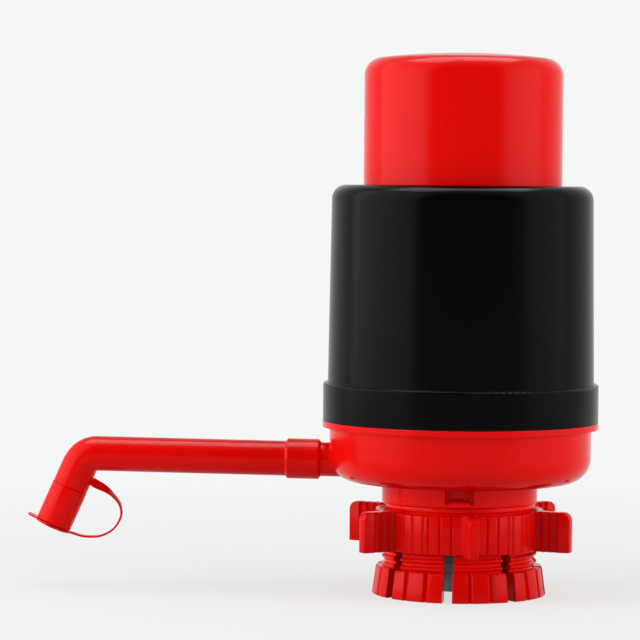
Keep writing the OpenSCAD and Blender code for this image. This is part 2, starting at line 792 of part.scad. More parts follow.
module wing_nut() {
    bore_r = thread_r + running;
    lead_in = 1;
    groove_w = 0.8;
    flute_r = 0.9;
    flute_out = 0.4;
    flute_count = 3;
    flute_pitch = wing_reach / (flute_count + 1);
    wing_h = nut_h + wing_rise;
    color(RED) translate([0, 0, nut_z]) difference() {
        union() {
            difference() {
                union() {
                    cylinder(r1 = nut_r - edge / 2, r2 = nut_r, h = edge / 2);
                    translate([0, 0, edge / 2]) cylinder(r = nut_r, h = nut_h - edge);
                    translate([0, 0, nut_h - edge / 2])
                        cylinder(r1 = nut_r, r2 = nut_r - edge / 2, h = edge / 2);
                }
                for (share = GROOVE_SHARES, side = [-1, 1])
                    around(wing_count, front + wing_turn + side * share * 180 / wing_count)
                        translate([nut_r, 0, -eps]) rotate([0, 0, 45])
                            translate([-groove_w / 2, -groove_w / 2, 0])
                                cube([groove_w, groove_w, nut_h + 2 * eps]);
            }
            around(wing_count, front + wing_turn) wing(wing_h);
        }
        translate([0, 0, -eps]) cylinder(r = bore_r, h = wing_h + 2 * eps);
        translate([0, 0, -eps]) cylinder(r1 = bore_r + lead_in, r2 = bore_r, h = lead_in);
        translate([0, 0, nut_h - lead_in + eps]) cylinder(r1 = bore_r, r2 = bore_r + lead_in, h = lead_in);
        around(wing_count, front + wing_turn) for (i = [1 : flute_count], side = [-1, 1])
            translate([nut_r + i * flute_pitch, side * (wing_half(i * flute_pitch) + flute_out), -eps])
                cylinder(r = flute_r, h = wing_h + 2 * eps, $fn = 24);
    }
}

// Half the wing's width, a distance out from the nut's body
function wing_half(out) =
    (wing_root_w + (wing_tip_w - wing_root_w) * (out + edge) / (wing_reach + edge)) / 2;

// ---------------------------------------------------------------- spout, nozzle tip and its cap

// Places its children in the nozzle's frame: +X runs down the nozzle from the bend, +Z points outwards
module nozzle_frame() {
    spout_frame() translate([spout_len, 0, 0]) rotate([0, bend_angle, 0]) children();
}

// A bent rod in the spout's frame: a straight length, a slice of a torus, and a straight length
// that is a little wider and laps over the bend. The bend is nearly as tight as the pipe's radius,
// so its inner corner is all but sharp.
module bent_rod(r, x_from, drop) {
    setback = bend_r * tan(bend_angle / 2);
    rod(r, x_from, spout_len - setback);
    translate([spout_len - setback, 0, -bend_r]) rotate([90, 0, 0])
        rotate_extrude(angle = bend_angle, start = 90 - bend_angle) translate([bend_r, 0]) circle(r = r);
    translate([spout_len, 0, 0]) rotate([0, bend_angle, 0]) rod(r + bend_step, setback - bend_lap, drop);
}

module spout_pipe() {
    color(RED) difference() {
        union() {
            spout_frame() {
                bent_rod(pipe_r, socket_end_x - edge, pipe_drop);
                rod(socket_r, socket_gap + edge, socket_end_x - edge);
                translate([socket_gap, 0, 0]) rotate([0, 90, 0])
                    cylinder(r1 = socket_r - edge, r2 = socket_r, h = edge + eps);
                translate([socket_end_x - edge, 0, 0]) rotate([0, 90, 0])
                    cylinder(r1 = socket_r, r2 = socket_r - edge, h = edge);
            }
            nozzle_frame() rod(stub_r, pipe_drop - edge, pipe_drop + stub_len);
        }
        spout_frame() {
            bent_rod(pipe_bore_r, socket_floor_x - eps, pipe_drop + stub_len + eps);
            rod(nipple_r + running, socket_gap - eps, socket_floor_x);
        }
    }
}

module spout_o_ring() {
    color(RUBBER) spout_frame() translate([o_ring_x, 0, 0]) rotate([0, 90, 0])
        rotate_extrude() translate([nipple_r - o_ring_depth + soft_gap, soft_gap - o_ring_w / 2])
            square([o_ring_depth - soft_gap, o_ring_w - 2 * soft_gap]);
}

module nozzle_tip() {
    color(RED) nozzle_frame() difference() {
        rod(tip_d / 2, tip_start, tip_end);
        rod(stub_r + running, tip_start - eps, tip_start + stub_len + loose);
        rod(tip_bore_r, tip_start, tip_end + eps);
    }
}

// A point of a smooth curve through the route, and all of its points
function clamped(list, i) = list[max(0, min(len(list) - 1, i))];
function blend(list, i, t) =
    let (
        before = clamped(list, i - 1),
        from = list[i],
        to = list[i + 1],
        after = clamped(list, i + 2),
        square_part = 2 * before - 5 * from + 4 * to - after,
        cube_part = 3 * from - before - 3 * to + after
    ) (2 * from + (to - before) * t + square_part * t * t + cube_part * t * t * t) / 2;
function strap_line() = concat(
    [for (i = [0 : len(STRAP_ROUTE) - 2], s = [0 : STRAP_STEPS - 1])
        blend(STRAP_ROUTE, i, s / STRAP_STEPS)],
    [STRAP_ROUTE[len(STRAP_ROUTE) - 1]]
);

// Four corners of the strap's section. Its width starts along the nozzle and twists to lie across it.
function strap_corners(line, i) =
    let (
        ahead = clamped(line, i + 1) - clamped(line, i - 1),
        along = ahead / norm(ahead),
        side = [-along[1], along[0]],
        turn = 90 * min(1, i / (len(line) - 1) / STRAP_TWIST_SHARE),
        wide = [side[0] * cos(turn), sin(turn), side[1] * cos(turn)] * strap_w / 2,
        thick = [-side[0] * sin(turn), cos(turn), -side[1] * sin(turn)] * strap_t / 2,
        mid = [line[i][0], 0, line[i][1]]
    ) [mid + wide + thick, mid - wide + thick, mid - wide - thick, mid + wide - thick];

module cap_strap() {
    line = strap_line();
    last = len(line) - 1;
    corners = [for (i = [0 : last]) each strap_corners(line, i)];
    sides = [for (i = [0 : last - 1], k = [0 : 3]) let (a = 4 * i + k, b = 4 * i + (k + 1) % 4)
        each [[a, b, b + 4], [a, b + 4, a + 4]]];
    far = 4 * last;
    ends = [[3, 2, 1], [3, 1, 0], [far, far + 1, far + 2], [far, far + 2, far + 3]];
    color(RED) nozzle_frame() mirror([0, 0, 1]) polyhedron(points = corners, faces = concat(sides, ends));
}

module tip_cap() {
    bulge_r = (lid_r * lid_r + lid_bulge * lid_bulge) / (2 * lid_bulge);
    tab_round_z = lid_r + tab_reach - tab_w / 2;
    color(RED) nozzle_frame() {
        difference() {
            rod(plug_r, lid_x - plug_h, lid_x + eps);
            rod(plug_r - 1.2, lid_x - plug_h - eps, lid_x - eps);
        }
        rod(lid_r, lid_x, lid_x + lid_h);
        intersection() {
            rod(lid_r, lid_x + lid_h - eps, lid_x + lid_h + lid_bulge);
            translate([lid_x + lid_h + lid_bulge - bulge_r, 0, 0]) sphere(r = bulge_r, $fn = 360);
        }
        translate([lid_x, -tab_w / 2, lid_r - 2 * edge]) cube([lid_h, tab_w, tab_round_z - lid_r + 2 * edge]);
        translate([lid_x, 0, tab_round_z]) rotate([0, 90, 0]) cylinder(r = tab_w / 2, h = lid_h);
    }
}

push_cap();
bellows_top_plate();
cap_screws();
inlet_valve();
bellows();
pump_shell();
bellows_clamp_ring();
base_screws();
valve_plate();
plate_gasket();
outlet_valve();
base_bowl();
pipe_socket();
socket_seal();
pipe_sleeve();
bottle_seal();
bottle_clamp();
wing_nut();
spout_pipe();
spout_o_ring();
nozzle_tip();
cap_strap();
tip_cap();
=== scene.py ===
"""Water jug hand pump: the look of each piece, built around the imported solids.

The frame is in metres with +Z up. The spout leaves along -X and the front faces -Y.
Sizes are written in millimetres and turned to metres where a mesh is made.
"""

import json
import logging
import math
from collections.abc import Iterable
from dataclasses import dataclass
from enum import Enum

import bpy
from mathutils import Matrix, Vector

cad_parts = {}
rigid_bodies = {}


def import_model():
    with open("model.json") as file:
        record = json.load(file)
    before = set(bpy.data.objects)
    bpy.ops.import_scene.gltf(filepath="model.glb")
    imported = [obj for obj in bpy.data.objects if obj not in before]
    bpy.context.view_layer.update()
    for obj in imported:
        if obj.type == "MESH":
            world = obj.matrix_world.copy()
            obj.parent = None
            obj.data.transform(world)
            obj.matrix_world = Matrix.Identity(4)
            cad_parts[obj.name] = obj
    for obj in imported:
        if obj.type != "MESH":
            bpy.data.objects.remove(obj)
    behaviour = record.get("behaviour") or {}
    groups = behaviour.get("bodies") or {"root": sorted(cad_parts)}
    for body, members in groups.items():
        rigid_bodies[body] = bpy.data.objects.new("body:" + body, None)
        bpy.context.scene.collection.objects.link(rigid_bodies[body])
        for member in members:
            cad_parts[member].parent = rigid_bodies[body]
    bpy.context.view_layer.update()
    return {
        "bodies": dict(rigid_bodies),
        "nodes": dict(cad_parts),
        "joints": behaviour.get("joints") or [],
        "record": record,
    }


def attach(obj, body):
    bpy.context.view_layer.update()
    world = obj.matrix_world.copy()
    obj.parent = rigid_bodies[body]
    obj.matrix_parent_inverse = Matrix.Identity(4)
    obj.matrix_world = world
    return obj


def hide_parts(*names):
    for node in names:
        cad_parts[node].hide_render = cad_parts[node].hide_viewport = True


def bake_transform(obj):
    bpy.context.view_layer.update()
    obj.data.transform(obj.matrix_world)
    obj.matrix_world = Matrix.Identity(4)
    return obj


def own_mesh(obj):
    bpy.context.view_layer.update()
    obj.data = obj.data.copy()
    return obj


Piece = bpy.types.Object
Tree = bpy.types.NodeTree

LOG = logging.getLogger("water_pump")
MM = 0.001
TINY = 0.01 * MM
FULL_TURN = 2 * math.pi


# ---------------------------------------------------------------- sizes that several pieces share


@dataclass(frozen=True)
class PumpLevels:
    """Heights above the clamp's foot, and radii, that the pump's pieces share, in millimetres."""

    bowl: float = 45.1
    ledge: float = 64.1
    plate: float = 65.6
    lower_lip: float = 68.6
    clamp_ring: float = 70.1
    folds: float = 72.9
    top_plate: float = 147.8
    upper_lip: float = 150.4
    cap_low: float = 152.0
    bowl_radius: float = 52.3
    stack_radius: float = 49.6
    base_screw_radius: float = 46.4
    cap_screw_radius: float = 34.2
    screw_hole: float = 1.7
    push_travel: float = 42.0


@dataclass(frozen=True)
class SpoutLayout:
    """Where the spout and its nozzle lie, in millimetres and degrees."""

    outlet_height: float = 53.0
    rise: float = 0.75
    length: float = 98.5
    bend: float = 66.8
    nozzle_end: float = 31.0
    lid_radius: float = 7.7
    lid_start: float = 31.3
    lid_height: float = 0.9

    def spout_place(self) -> Matrix:
        """Return the place of the spout's own frame, whose +X runs outwards along the pipe."""
        outlet = Vector((-PumpLevels().bowl_radius, 0, self.outlet_height)) * MM
        return (
            Matrix.Translation(outlet)
            @ Matrix.Rotation(math.pi, 4, "Z")
            @ Matrix.Rotation(-math.radians(self.rise), 4, "Y")
        )

    def nozzle_place(self) -> Matrix:
        """Return the place of the nozzle's frame, whose +X runs down the nozzle from the bend."""
        return (
            self.spout_place()
            @ Matrix.Translation(Vector((self.length * MM, 0, 0)))
            @ Matrix.Rotation(math.radians(self.bend), 4, "Y")
        )


@dataclass(frozen=True)
class ThreadForm:
    """The coarse right-hand thread between the bottle clamp and the wing nut, in millimetres."""

    crest: float = 31.0
    pitch: float = 3.1
    start: float = 10.4
    clearance: float = 0.15


LEVELS = PumpLevels()
SPOUT = SpoutLayout()
THREAD = ThreadForm()


class Body(Enum):
    """The rigid bodies of the pump that a piece can ride on."""

    PUMP = "pump_body"
    PLUNGER = "plunger"
    NUT = "nut"
    SPOUT = "spout"
    LID = "lid"


class Slot(Enum):
    """The record's material slots."""

    RED = "red_plastic"
    BLACK = "black_plastic"
    GREY = "grey_plastic"
    DARK_RUBBER = "dark_rubber"
    BELLOWS_RUBBER = "bellows_rubber"
    STEEL = "screw_steel"


class Shaping(Enum):
    """What a second piece does to the piece that it is set in."""

    ADD = "UNION"
    CUT = "DIFFERENCE"


# ---------------------------------------------------------------- colours and nodes


def linear(hex_colour: str) -> tuple[float, float, float, float]:
    """Turn an sRGB hex colour to linear RGBA.

    Args:
        hex_colour: six hex digits after a hash sign.

    Returns:
        Red, green, blue and an alpha of 1.
    """
    parts = [int(hex_colour[i : i + 2], 16) / 255 for i in (1, 3, 5)]
    red, green, blue = (p / 12.92 if p <= 0.04045 else ((p + 0.055) / 1.055) ** 2.4 for p in parts)
    return (red, green, blue, 1.0)


def add_node(
    tree: Tree, kind: str, settings: dict | None = None, links: dict | None = None
) -> bpy.types.Node:
    """Add one node with its settings and links.

    Args:
        tree: the node tree that gets the node.
        kind: the node's type name, without the ShaderNode that they all start with.
        settings: values by socket name or number, or by attribute name.
        links: what feeds an input, by its name or number: an output, or a node for its first output.

    Returns:
        The new node.
    """
    node = tree.nodes.new("ShaderNode" + kind)
    for key, value in (settings or {}).items():
        if isinstance(key, int) or key in node.inputs:
            node.inputs[key].default_value = value
        else:
            setattr(node, key, value)
    for key, source in (links or {}).items():
        output = source.outputs[0] if isinstance(source, bpy.types.Node) else source
        tree.links.new(output, node.inputs[key])
    return node


def new_material(name: str) -> tuple[bpy.types.Material, Tree]:
    """Make an empty node material.

    Args:
        name: the material's name.

    Returns:
        The material and its node tree.
    """
    material = bpy.data.materials.new(name)
    material.use_nodes = True
    material.node_tree.nodes.clear()
    return material, material.node_tree


# ---------------------------------------------------------------- finishes


@dataclass(frozen=True)
class Finish:
    """What every finish has: a name, a colour, the shade that it drifts to, and a roughness."""

    name: str
    colour: str
    shade: str
    roughness: float

    def patches(
        self,
        tree: Tree,
        place: bpy.types.NodeSocket,
        grain: tuple[float, float],
        swing: tuple[float, float],
    ) -> dict:
        """Let colour and roughness drift over the surface in soft patches.

        Args:
            tree: the material's node tree.
            place: the surface's own coordinates.
            grain: the patches' size in millimetres, and how many finer layers they have.
            swing: the lowest and highest roughness, as shares of the finish's own.

        Returns:
            What feeds the shader, by the name of its input.
        """
        size, detail = grain
        noise = add_node(
            tree, "TexNoise", {"Scale": 1 / (size * MM), "Detail": detail}, {"Vector": place}
        )
        tint = add_node(
            tree,
            "Mix",
            {"data_type": "RGBA", 6: linear(self.colour), 7: linear(self.shade)},
            {0: noise},
        )
        low, high = (min(1.0, self.roughness * share) for share in swing)
        gloss = add_node(tree, "MapRange", {"To Min": low, "To Max": high}, {"Value": noise})
        return {"Base Color": tint.outputs[2], "Roughness": gloss}

    def show(self, tree: Tree, settings: dict, links: dict) -> None:
        """End a material's node tree with a shader of these settings and links, and its output."""
        shader = add_node(tree, "BsdfPrincipled", settings, links)
        add_node(tree, "OutputMaterial", None, {"Surface": shader})


@dataclass(frozen=True)
class MouldedPlastic(Finish):
    """ABS, injection moulded in a polished tool: a clear gloss with the faint waves of the melt's flow."""

    specular: float = 0.2
    ior: float = 1.53
    flow_mm: float = 34.0
    orange_peel_mm: float = 1.6
    peel_depth_mm: float = 0.003
    peel_strength: float = 0.25
    edge_mm: float = 0.45
    swing: tuple[float, float] = (0.9, 1.12)

    def make(self) -> bpy.types.Material:
        """Build the material.

        Returns:
            The plastic, with slow drifts of colour and gloss, a fine orange peel and softened edges.
        """
        material, tree = new_material(self.name)
        place = add_node(tree, "TexCoord").outputs["Object"]
        # The melt's flow leaves the colour a shade deeper here and there.
        links = self.patches(tree, place, (self.flow_mm, 2.0), self.swing)
        peel = add_node(
            tree,
            "TexNoise",
            {"Scale": 1 / (self.orange_peel_mm * MM), "Detail": 1.0},
            {"Vector": place},
        )
        edge = add_node(tree, "Bevel", {"samples": 6, "Radius": self.edge_mm * MM})
        skin = add_node(
            tree,
            "Bump",
            {"Strength": self.peel_strength, "Distance": self.peel_depth_mm * MM},
            {"Height": peel, "Normal": edge},
        )
        links["Normal"] = skin
        self.show(tree, {"IOR": self.ior, "Specular IOR Level": self.specular}, links)
        return material


@dataclass(frozen=True)
class MouldedRubber(Finish):
    """Vulcanised rubber, pressed in a steel mould: matt, with a fine pebble and a pale bloom."""

    ior: float = 1.52
    bloom_mm: float = 9.0
    pebble_mm: float = 0.8
    pebble_depth_mm: float = 0.02
    pebble_strength: float = 0.4
    swing: tuple[float, float] = (0.85, 1.15)

    def make(self) -> bpy.types.Material:
        """Build the material.

        Returns:
            The rubber, with a blotchy bloom over its colour and a pebbled skin.
        """
        material, tree = new_material(self.name)
        place = add_node(tree, "TexCoord").outputs["Object"]
        links = self.patches(tree, place, (self.bloom_mm, 4.0), self.swing)
        pebble = add_node(tree, "TexVoronoi", {"Scale": 1 / (self.pebble_mm * MM)}, {"Vector": place})
        skin = add_node(
            tree,
            "Bump",
            {"Strength": self.pebble_strength, "Distance": self.pebble_depth_mm * MM},
            {"Height": pebble},
        )
        links["Normal"] = skin
        self.show(tree, {"IOR": self.ior}, links)
        return material


@dataclass(frozen=True)
class TurnedSteel(Finish):
    """Zinc-plated steel, as screws are: a pale metal with fine streaks and a soft shine."""

    streak_mm: float = 0.6
    swing: tuple[float, float] = (0.8, 1.3)

    def make(self) -> bpy.types.Material:
        """Build the material.

        Returns:
            The steel, with streaks across its shank and heads.
        """
        material, tree = new_material(self.name)
        place = add_node(tree, "TexCoord").outputs["Object"]
        links = self.patches(tree, place, (self.streak_mm, 3.0), self.swing)
        self.show(tree, {"Metallic": 1.0}, links)
        return material


class FinishKit:
    """The pump's materials, one for each of the record's slots, and the nodes that they dress."""

    FINISHES = {
        Slot.RED: MouldedPlastic("abs_moulded_red", "#EC0A05", "#E20703", 0.17, 0.08),
        Slot.BLACK: MouldedPlastic("abs_moulded_black", "#030303", "#050505", 0.2, 0.05),
        Slot.GREY: MouldedPlastic("polypropylene_moulded_grey", "#C0C2C4", "#B6B8BA", 0.48, 0.4, 1.49),
        Slot.DARK_RUBBER: MouldedRubber("nitrile_rubber_grey", "#9A9C9E", "#A6A8AA", 0.7),
        Slot.BELLOWS_RUBBER: MouldedRubber("silicone_rubber_pale", "#CFCCC2", "#C2BFB4", 0.55, 1.41),
        Slot.STEEL: TurnedSteel("zinc_plated_steel", "#C4C7CB", "#A9ADB2", 0.34),
    }

    def __init__(self) -> None:
        """Make every material once."""
        self.materials = {slot: finish.make() for slot, finish in self.FINISHES.items()}

    def dress(self, piece: Piece, slot: Slot) -> None:
        """Give a new piece the material of one of the record's slots.

        Args:
            piece: the piece to dress.
            slot: the slot it takes its finish from.
        """
        piece.data.materials.clear()
        piece.data.materials.append(self.materials[slot])

    def complete(self, piece: Piece, slot: Slot, body: Body, *nodes: str, angle: float = 35.0) -> None:
        """Dress and shade a piece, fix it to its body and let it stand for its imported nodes.

        Args:
            piece: the finished shape.
            slot: the slot it takes its finish from.
            body: the body it rides on.
            nodes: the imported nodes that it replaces.
            angle: the sharpest angle that is shaded smooth, in degrees.
        """
        self.dress(piece, slot)
        smooth(piece, angle)
        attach(piece, body.value)
        if nodes:
            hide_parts(*nodes)
        LOG.info("built %s, %d faces, on %s", piece.name, len(piece.data.polygons), body.value)

    def dress_nodes(self, frame: dict) -> None:
        """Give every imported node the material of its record's slot.
        """
        slots = {part["node"]: Slot(part["material_slot"]) for part in frame["record"]["subparts"]}
        for name, node in frame["nodes"].items():
            material = self.materials[slots[name]]
            for place in node.material_slots:
                place.material = material
            LOG.info("dressed %s in %s", name, material.name)


# ---------------------------------------------------------------- modelling bench


def clear_selection() -> None:
    """Leave object mode with nothing selected."""
    if bpy.context.object and bpy.context.object.mode != "OBJECT":
        bpy.ops.object.mode_set(mode="OBJECT")
    bpy.ops.object.select_all(action="DESELECT")


def pick(piece: Piece) -> None:
    """Select one object alone and make it active.

    Args:
        piece: the object.
    """
    clear_selection()
    piece.select_set(True)
    bpy.context.view_layer.objects.active = piece


def edit(piece: Piece) -> None:
    """Open one object in edit mode."""
    pick(piece)
    bpy.ops.object.mode_set(mode="EDIT")


def pick_vertices(piece: Piece, wanted: list[Vector], reach: float = TINY) -> None:
    """Select, in edit mode, the vertices that lie at given points.

    Args:
        piece: the object that is open in edit mode.
        wanted: the points, in metres.
        reach: how near a vertex has to lie.
    """
    bpy.ops.mesh.select_mode(type="VERT")
    bpy.ops.mesh.select_all(action="DESELECT")
    bpy.ops.object.mode_set(mode="OBJECT")
    for vertex in piece.data.vertices:
        vertex.select = any((vertex.co - point).length < reach for point in wanted)
    bpy.ops.object.mode_set(mode="EDIT")


@dataclass(frozen=True)
class Corner:
    """A corner of a turned outline: its radius from the axis, its height, and its rounding."""

    radius: float
    height: float
    rounding: float = 0.0

    def point(self) -> Vector:
        """Return the corner in the XZ plane, in metres."""
        return Vector((self.radius * MM, 0, self.height * MM))


@dataclass(frozen=True)
class Lathe:
    """Turns closed outlines round the Z axis: its steps in a turn, and in a rounded corner."""

    steps: int = 96
    segments: int = 3

    def outline(self, name: str, corners: list[Corner]) -> Piece:
        """Draw a closed outline corner by corner and round its corners.

        Args:
            name: the new object's name.
            corners: the corners in order.

        Returns:
            An object that holds the outline's edges, all selected in edit mode.
        """
        clear_selection()
        bpy.ops.mesh.primitive_plane_add(size=MM)
        piece = bpy.context.object
        piece.name = name
        bpy.ops.object.mode_set(mode="EDIT")
        bpy.ops.mesh.merge(type="CENTER")
        points = [corner.point() for corner in corners]
        bpy.ops.transform.translate(value=points[0])
        for start, end in zip(points, points[1:] + points[:1]):
            bpy.ops.mesh.extrude_region_move(TRANSFORM_OT_translate={"value": end - start})
        bpy.ops.mesh.select_all(action="SELECT")
        bpy.ops.mesh.remove_doubles(threshold=TINY / 10)
        bpy.ops.mesh.edge_face_add()
        for rounding in sorted({corner.rounding for corner in corners if corner.rounding}):
            pick_vertices(piece, [corner.point() for corner in corners if corner.rounding == rounding])
            bpy.ops.mesh.bevel(
                offset=rounding * MM, offset_type="OFFSET", segments=self.segments, affect="VERTICES"
            )
        bpy.ops.mesh.select_all(action="SELECT")
        bpy.ops.mesh.delete(type="ONLY_FACE")
        bpy.ops.mesh.select_all(action="SELECT")
        return piece

    def turn(self, name: str, corners: list[Corner]) -> Piece:
        """Spin a closed outline into a closed ring or a solid of revolution.

        Args:
            name: the new object's name.
            corners: the outline's corners in order.

        Returns:
            The turned object, in object mode.
        """
        piece = self.outline(name, corners)
        bpy.ops.mesh.spin(steps=self.steps, angle=FULL_TURN, center=(0, 0, 0), axis=(0, 0, 1))
        close_up(piece)
        return piece


def close_up(piece: Piece, fill: bool = False) -> None:
    """Merge a mesh's doubles, turn its faces outwards and leave edit mode.

    Args:
        piece: the piece.
        fill: whether open ends get a face.
    """
    edit(piece)
    bpy.ops.mesh.select_all(action="SELECT")
    bpy.ops.mesh.remove_doubles(threshold=TINY / 2)
    bpy.ops.mesh.delete_loose(use_faces=False)
    bpy.ops.mesh.select_all(action="SELECT")
    if fill:
        bpy.ops.mesh.fill_holes(sides=0)
        bpy.ops.mesh.select_all(action="SELECT")
    bpy.ops.mesh.normals_make_consistent(inside=False)
    bpy.ops.object.mode_set(mode="OBJECT")


def combine(piece: Piece, tool: Piece, shaping: Shaping) -> None:
    """Add a tool to a piece or cut it out of the piece, and delete the tool.

    Args:
        piece: the piece that is kept.
        tool: the object that is added or cut away.
        shaping: which of the two.
    """
    pick(piece)
    boolean = piece.modifiers.new("shape", "BOOLEAN")
    boolean.operation = shaping.value
    boolean.solver = "MANIFOLD"
    boolean.object = tool
    bpy.ops.object.modifier_apply(modifier=boolean.name)
    bpy.data.objects.remove(tool, do_unlink=True)


def spread(first: float, count: int) -> list[float]:
    """Return evenly spread angles in degrees, from the first one on."""
    return [first + i * 360 / count for i in range(count)]


def array_round(tool: Piece, angles: Iterable[float]) -> Piece:
    """Copy a tool round the Z axis and join the copies into one object.

    Args:
        tool: the object to copy, which is deleted.
        angles: the copies' angles in degrees.

    Returns:
        One object that holds all the copies.
    """
    copies = []
    for angle in angles:
        copy = tool.copy()
        copy.data = tool.data.copy()
        bpy.context.scene.collection.objects.link(copy)
        copy.data.transform(Matrix.Rotation(math.radians(angle), 4, "Z"))
        copies.append(copy)
    bpy.data.objects.remove(tool, do_unlink=True)
    clear_selection()
    for copy in copies:
        copy.select_set(True)
    bpy.context.view_layer.objects.active = copies[0]
    if len(copies) > 1:
        bpy.ops.object.join()
    return bpy.context.object


def stand(name: str, data: bpy.types.ID) -> Piece:
    """Put a curve, a lamp or a camera in the scene.

    Args:
        name: the new object's name.
        data: what it shows.

    Returns:
        The object.
    """
    thing = bpy.data.objects.new(name, data)
    bpy.context.scene.collection.objects.link(thing)
    return thing


def rod(radius: float, length: float, centre: tuple[float, float, float], sides: int) -> Piece:
    """Add an upright rod that cuts another piece.

    Args:
        radius: its radius in millimetres.
        length: its length in millimetres.
        centre: its middle in millimetres.
        sides: how many sides it has.

    Returns:
        The rod, with its place in its mesh.
    """
    clear_selection()
    bpy.ops.mesh.primitive_cylinder_add(
        vertices=sides, radius=radius * MM, depth=length * MM, location=Vector(centre) * MM
    )
    return settle(bpy.context.object)


def drill(piece: Piece, low: float, high: float, distance: float, angles: Iterable[float]) -> None:
    """Drill a ring of upright screw holes through a piece, with rods that stand out at both ends.

    Args:
        piece: the piece.
        low: the height of its underside there, in millimetres.
        high: the height of its top.
        distance: how far the holes stand from the axis.
        angles: where they stand round it, in degrees.
    """
    hole = rod(LEVELS.screw_hole, high - low + 2, (distance, 0, (low + high) / 2), 24)
    combine(piece, array_round(hole, angles), Shaping.CUT)


def block(size: tuple[float, float, float], centre: tuple[float, float, float]) -> Piece:
    """Add a block that cuts another piece or is joined to it.

    Args:
        size: its three sides in millimetres.
        centre: its middle in millimetres.

    Returns:
        The block, with its place in its mesh.
    """
    clear_selection()
    bpy.ops.mesh.primitive_cube_add(size=1, location=Vector(centre) * MM, scale=Vector(size) * MM)
    return settle(bpy.context.object)


def wind(name: str, tooth: list[Corner], pitch: float, turns: int) -> Piece:
    """Wind an outline up the Z axis into one closed helical bar.

    Args:
        name: the bar's name.
        tooth: the outline's corners where the bar starts.
        pitch: its rise in one turn, in millimetres.
        turns: the number of turns.

    Returns:
        The bar.
    """
    bar = Lathe().outline(name, tooth)
    bpy.ops.object.mode_set(mode="OBJECT")
    screw = bar.modifiers.new("thread", "SCREW")
    screw.axis = "Z"
    screw.angle = FULL_TURN
    screw.screw_offset = pitch * MM
    screw.iterations = turns
    screw.steps = screw.render_steps = 72
    screw.use_merge_vertices = True
    screw.merge_threshold = TINY
    pick(bar)
    bpy.ops.object.modifier_apply(modifier=screw.name)
    close_up(bar, fill=True)
    return bar


def round_edges(piece: Piece, radius: float, angle: float = 40.0) -> None:
    """Round every edge that is sharper than an angle.

    Args:
        piece: the piece.
        radius: the rounding in millimetres.
        angle: the angle in degrees.
    """
    bevel = piece.modifiers.new("rounding", "BEVEL")
    bevel.width = radius * MM
    bevel.segments = 2
    bevel.limit_method = "ANGLE"
    bevel.angle_limit = math.radians(angle)
    pick(piece)
    bpy.ops.object.modifier_apply(modifier=bevel.name)


def settle(piece: Piece, place: Matrix | None = None) -> Piece:
    """Put a piece's place in its mesh and leave its object at the origin.

    Args:
        piece: the piece.
        place: where the piece goes after its own place is applied.

    Returns:
        The same piece.
    """
    bpy.context.view_layer.update()
    piece.data.transform(piece.matrix_world)
    piece.matrix_world = Matrix.Identity(4)
    if place is not None:
        piece.data.transform(place)
    piece.data.update()
    return piece


def smooth(piece: Piece, angle: float = 35.0) -> None:
    """Shade a piece smooth, apart from edges sharper than an angle in degrees."""
    pick(piece)
    bpy.ops.object.shade_smooth_by_angle(angle=math.radians(angle))


# ---------------------------------------------------------------- bellows


@dataclass
class Bellows:
    """The air chamber: a folded tube of pale rubber with a flat lip at each end."""

    finishes: FinishKit
    root_radius: float = 40.5
    crest_radius: float = 46.5
    wall: float = 1.3
    folds: int = 8
    lip_inner_radius: float = 30.8
    crest_rounding: float = 0.9
    crest_loss: float = 0.44
    edge: float = 0.3
    top: float = LEVELS.cap_low - 0.1

    def fold_corners(self) -> list[Corner]:
        """Draw the outline of the folds, up the outside and down the inside.

        Returns:
            The outline's corners. A crest is drawn wider by what its rounding takes off.
        """
        pitch = (LEVELS.upper_lip - LEVELS.folds) / self.folds / 2
        outside, inside = [], []
        for i in range(2 * self.folds + 1):
            radius = self.crest_radius + self.crest_loss if i % 2 else self.root_radius
            rounding = self.crest_rounding if 0 < i < 2 * self.folds else 0.0
            height = LEVELS.folds + i * pitch
            outside.append(Corner(radius, height, rounding))
            inside.append(Corner(radius - self.wall, height, rounding * 0.6))
        lip = [
            Corner(self.root_radius, self.top, self.edge),
            Corner(self.lip_inner_radius, self.top, self.edge),
            Corner(self.lip_inner_radius, LEVELS.upper_lip, self.edge),
        ]
        return outside + lip + inside[::-1]

    def foot_corners(self) -> list[Corner]:
        """Draw the outline of the lower lip and the short neck above it.

        Returns:
            The outline's corners.
        """
        inner = self.root_radius - self.wall
        return [
            Corner(inner, LEVELS.lower_lip),
            Corner(LEVELS.stack_radius, LEVELS.lower_lip, self.edge),
            Corner(LEVELS.stack_radius, LEVELS.clamp_ring, self.edge),
            Corner(self.root_radius, LEVELS.clamp_ring),
            Corner(self.root_radius, LEVELS.folds),
            Corner(inner, LEVELS.folds),
        ]

    def build(self) -> None:
        """Turn the folds and the foot, which both ride on the pump's body."""
        lathe = Lathe(steps=112)
        folds = lathe.turn("bellows_folds", self.fold_corners())
        drill(folds, LEVELS.upper_lip, LEVELS.cap_low, LEVELS.cap_screw_radius, spread(45, 4))
        self.finishes.complete(folds, Slot.BELLOWS_RUBBER, Body.PUMP, "bellows", angle=40)
        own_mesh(folds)
        foot = lathe.turn("bellows_foot", self.foot_corners())
        drill(foot, LEVELS.lower_lip, LEVELS.clamp_ring, LEVELS.base_screw_radius, spread(30, 6))
        self.finishes.complete(foot, Slot.BELLOWS_RUBBER, Body.PUMP)


# ---------------------------------------------------------------- rubber seals, sleeve and valves


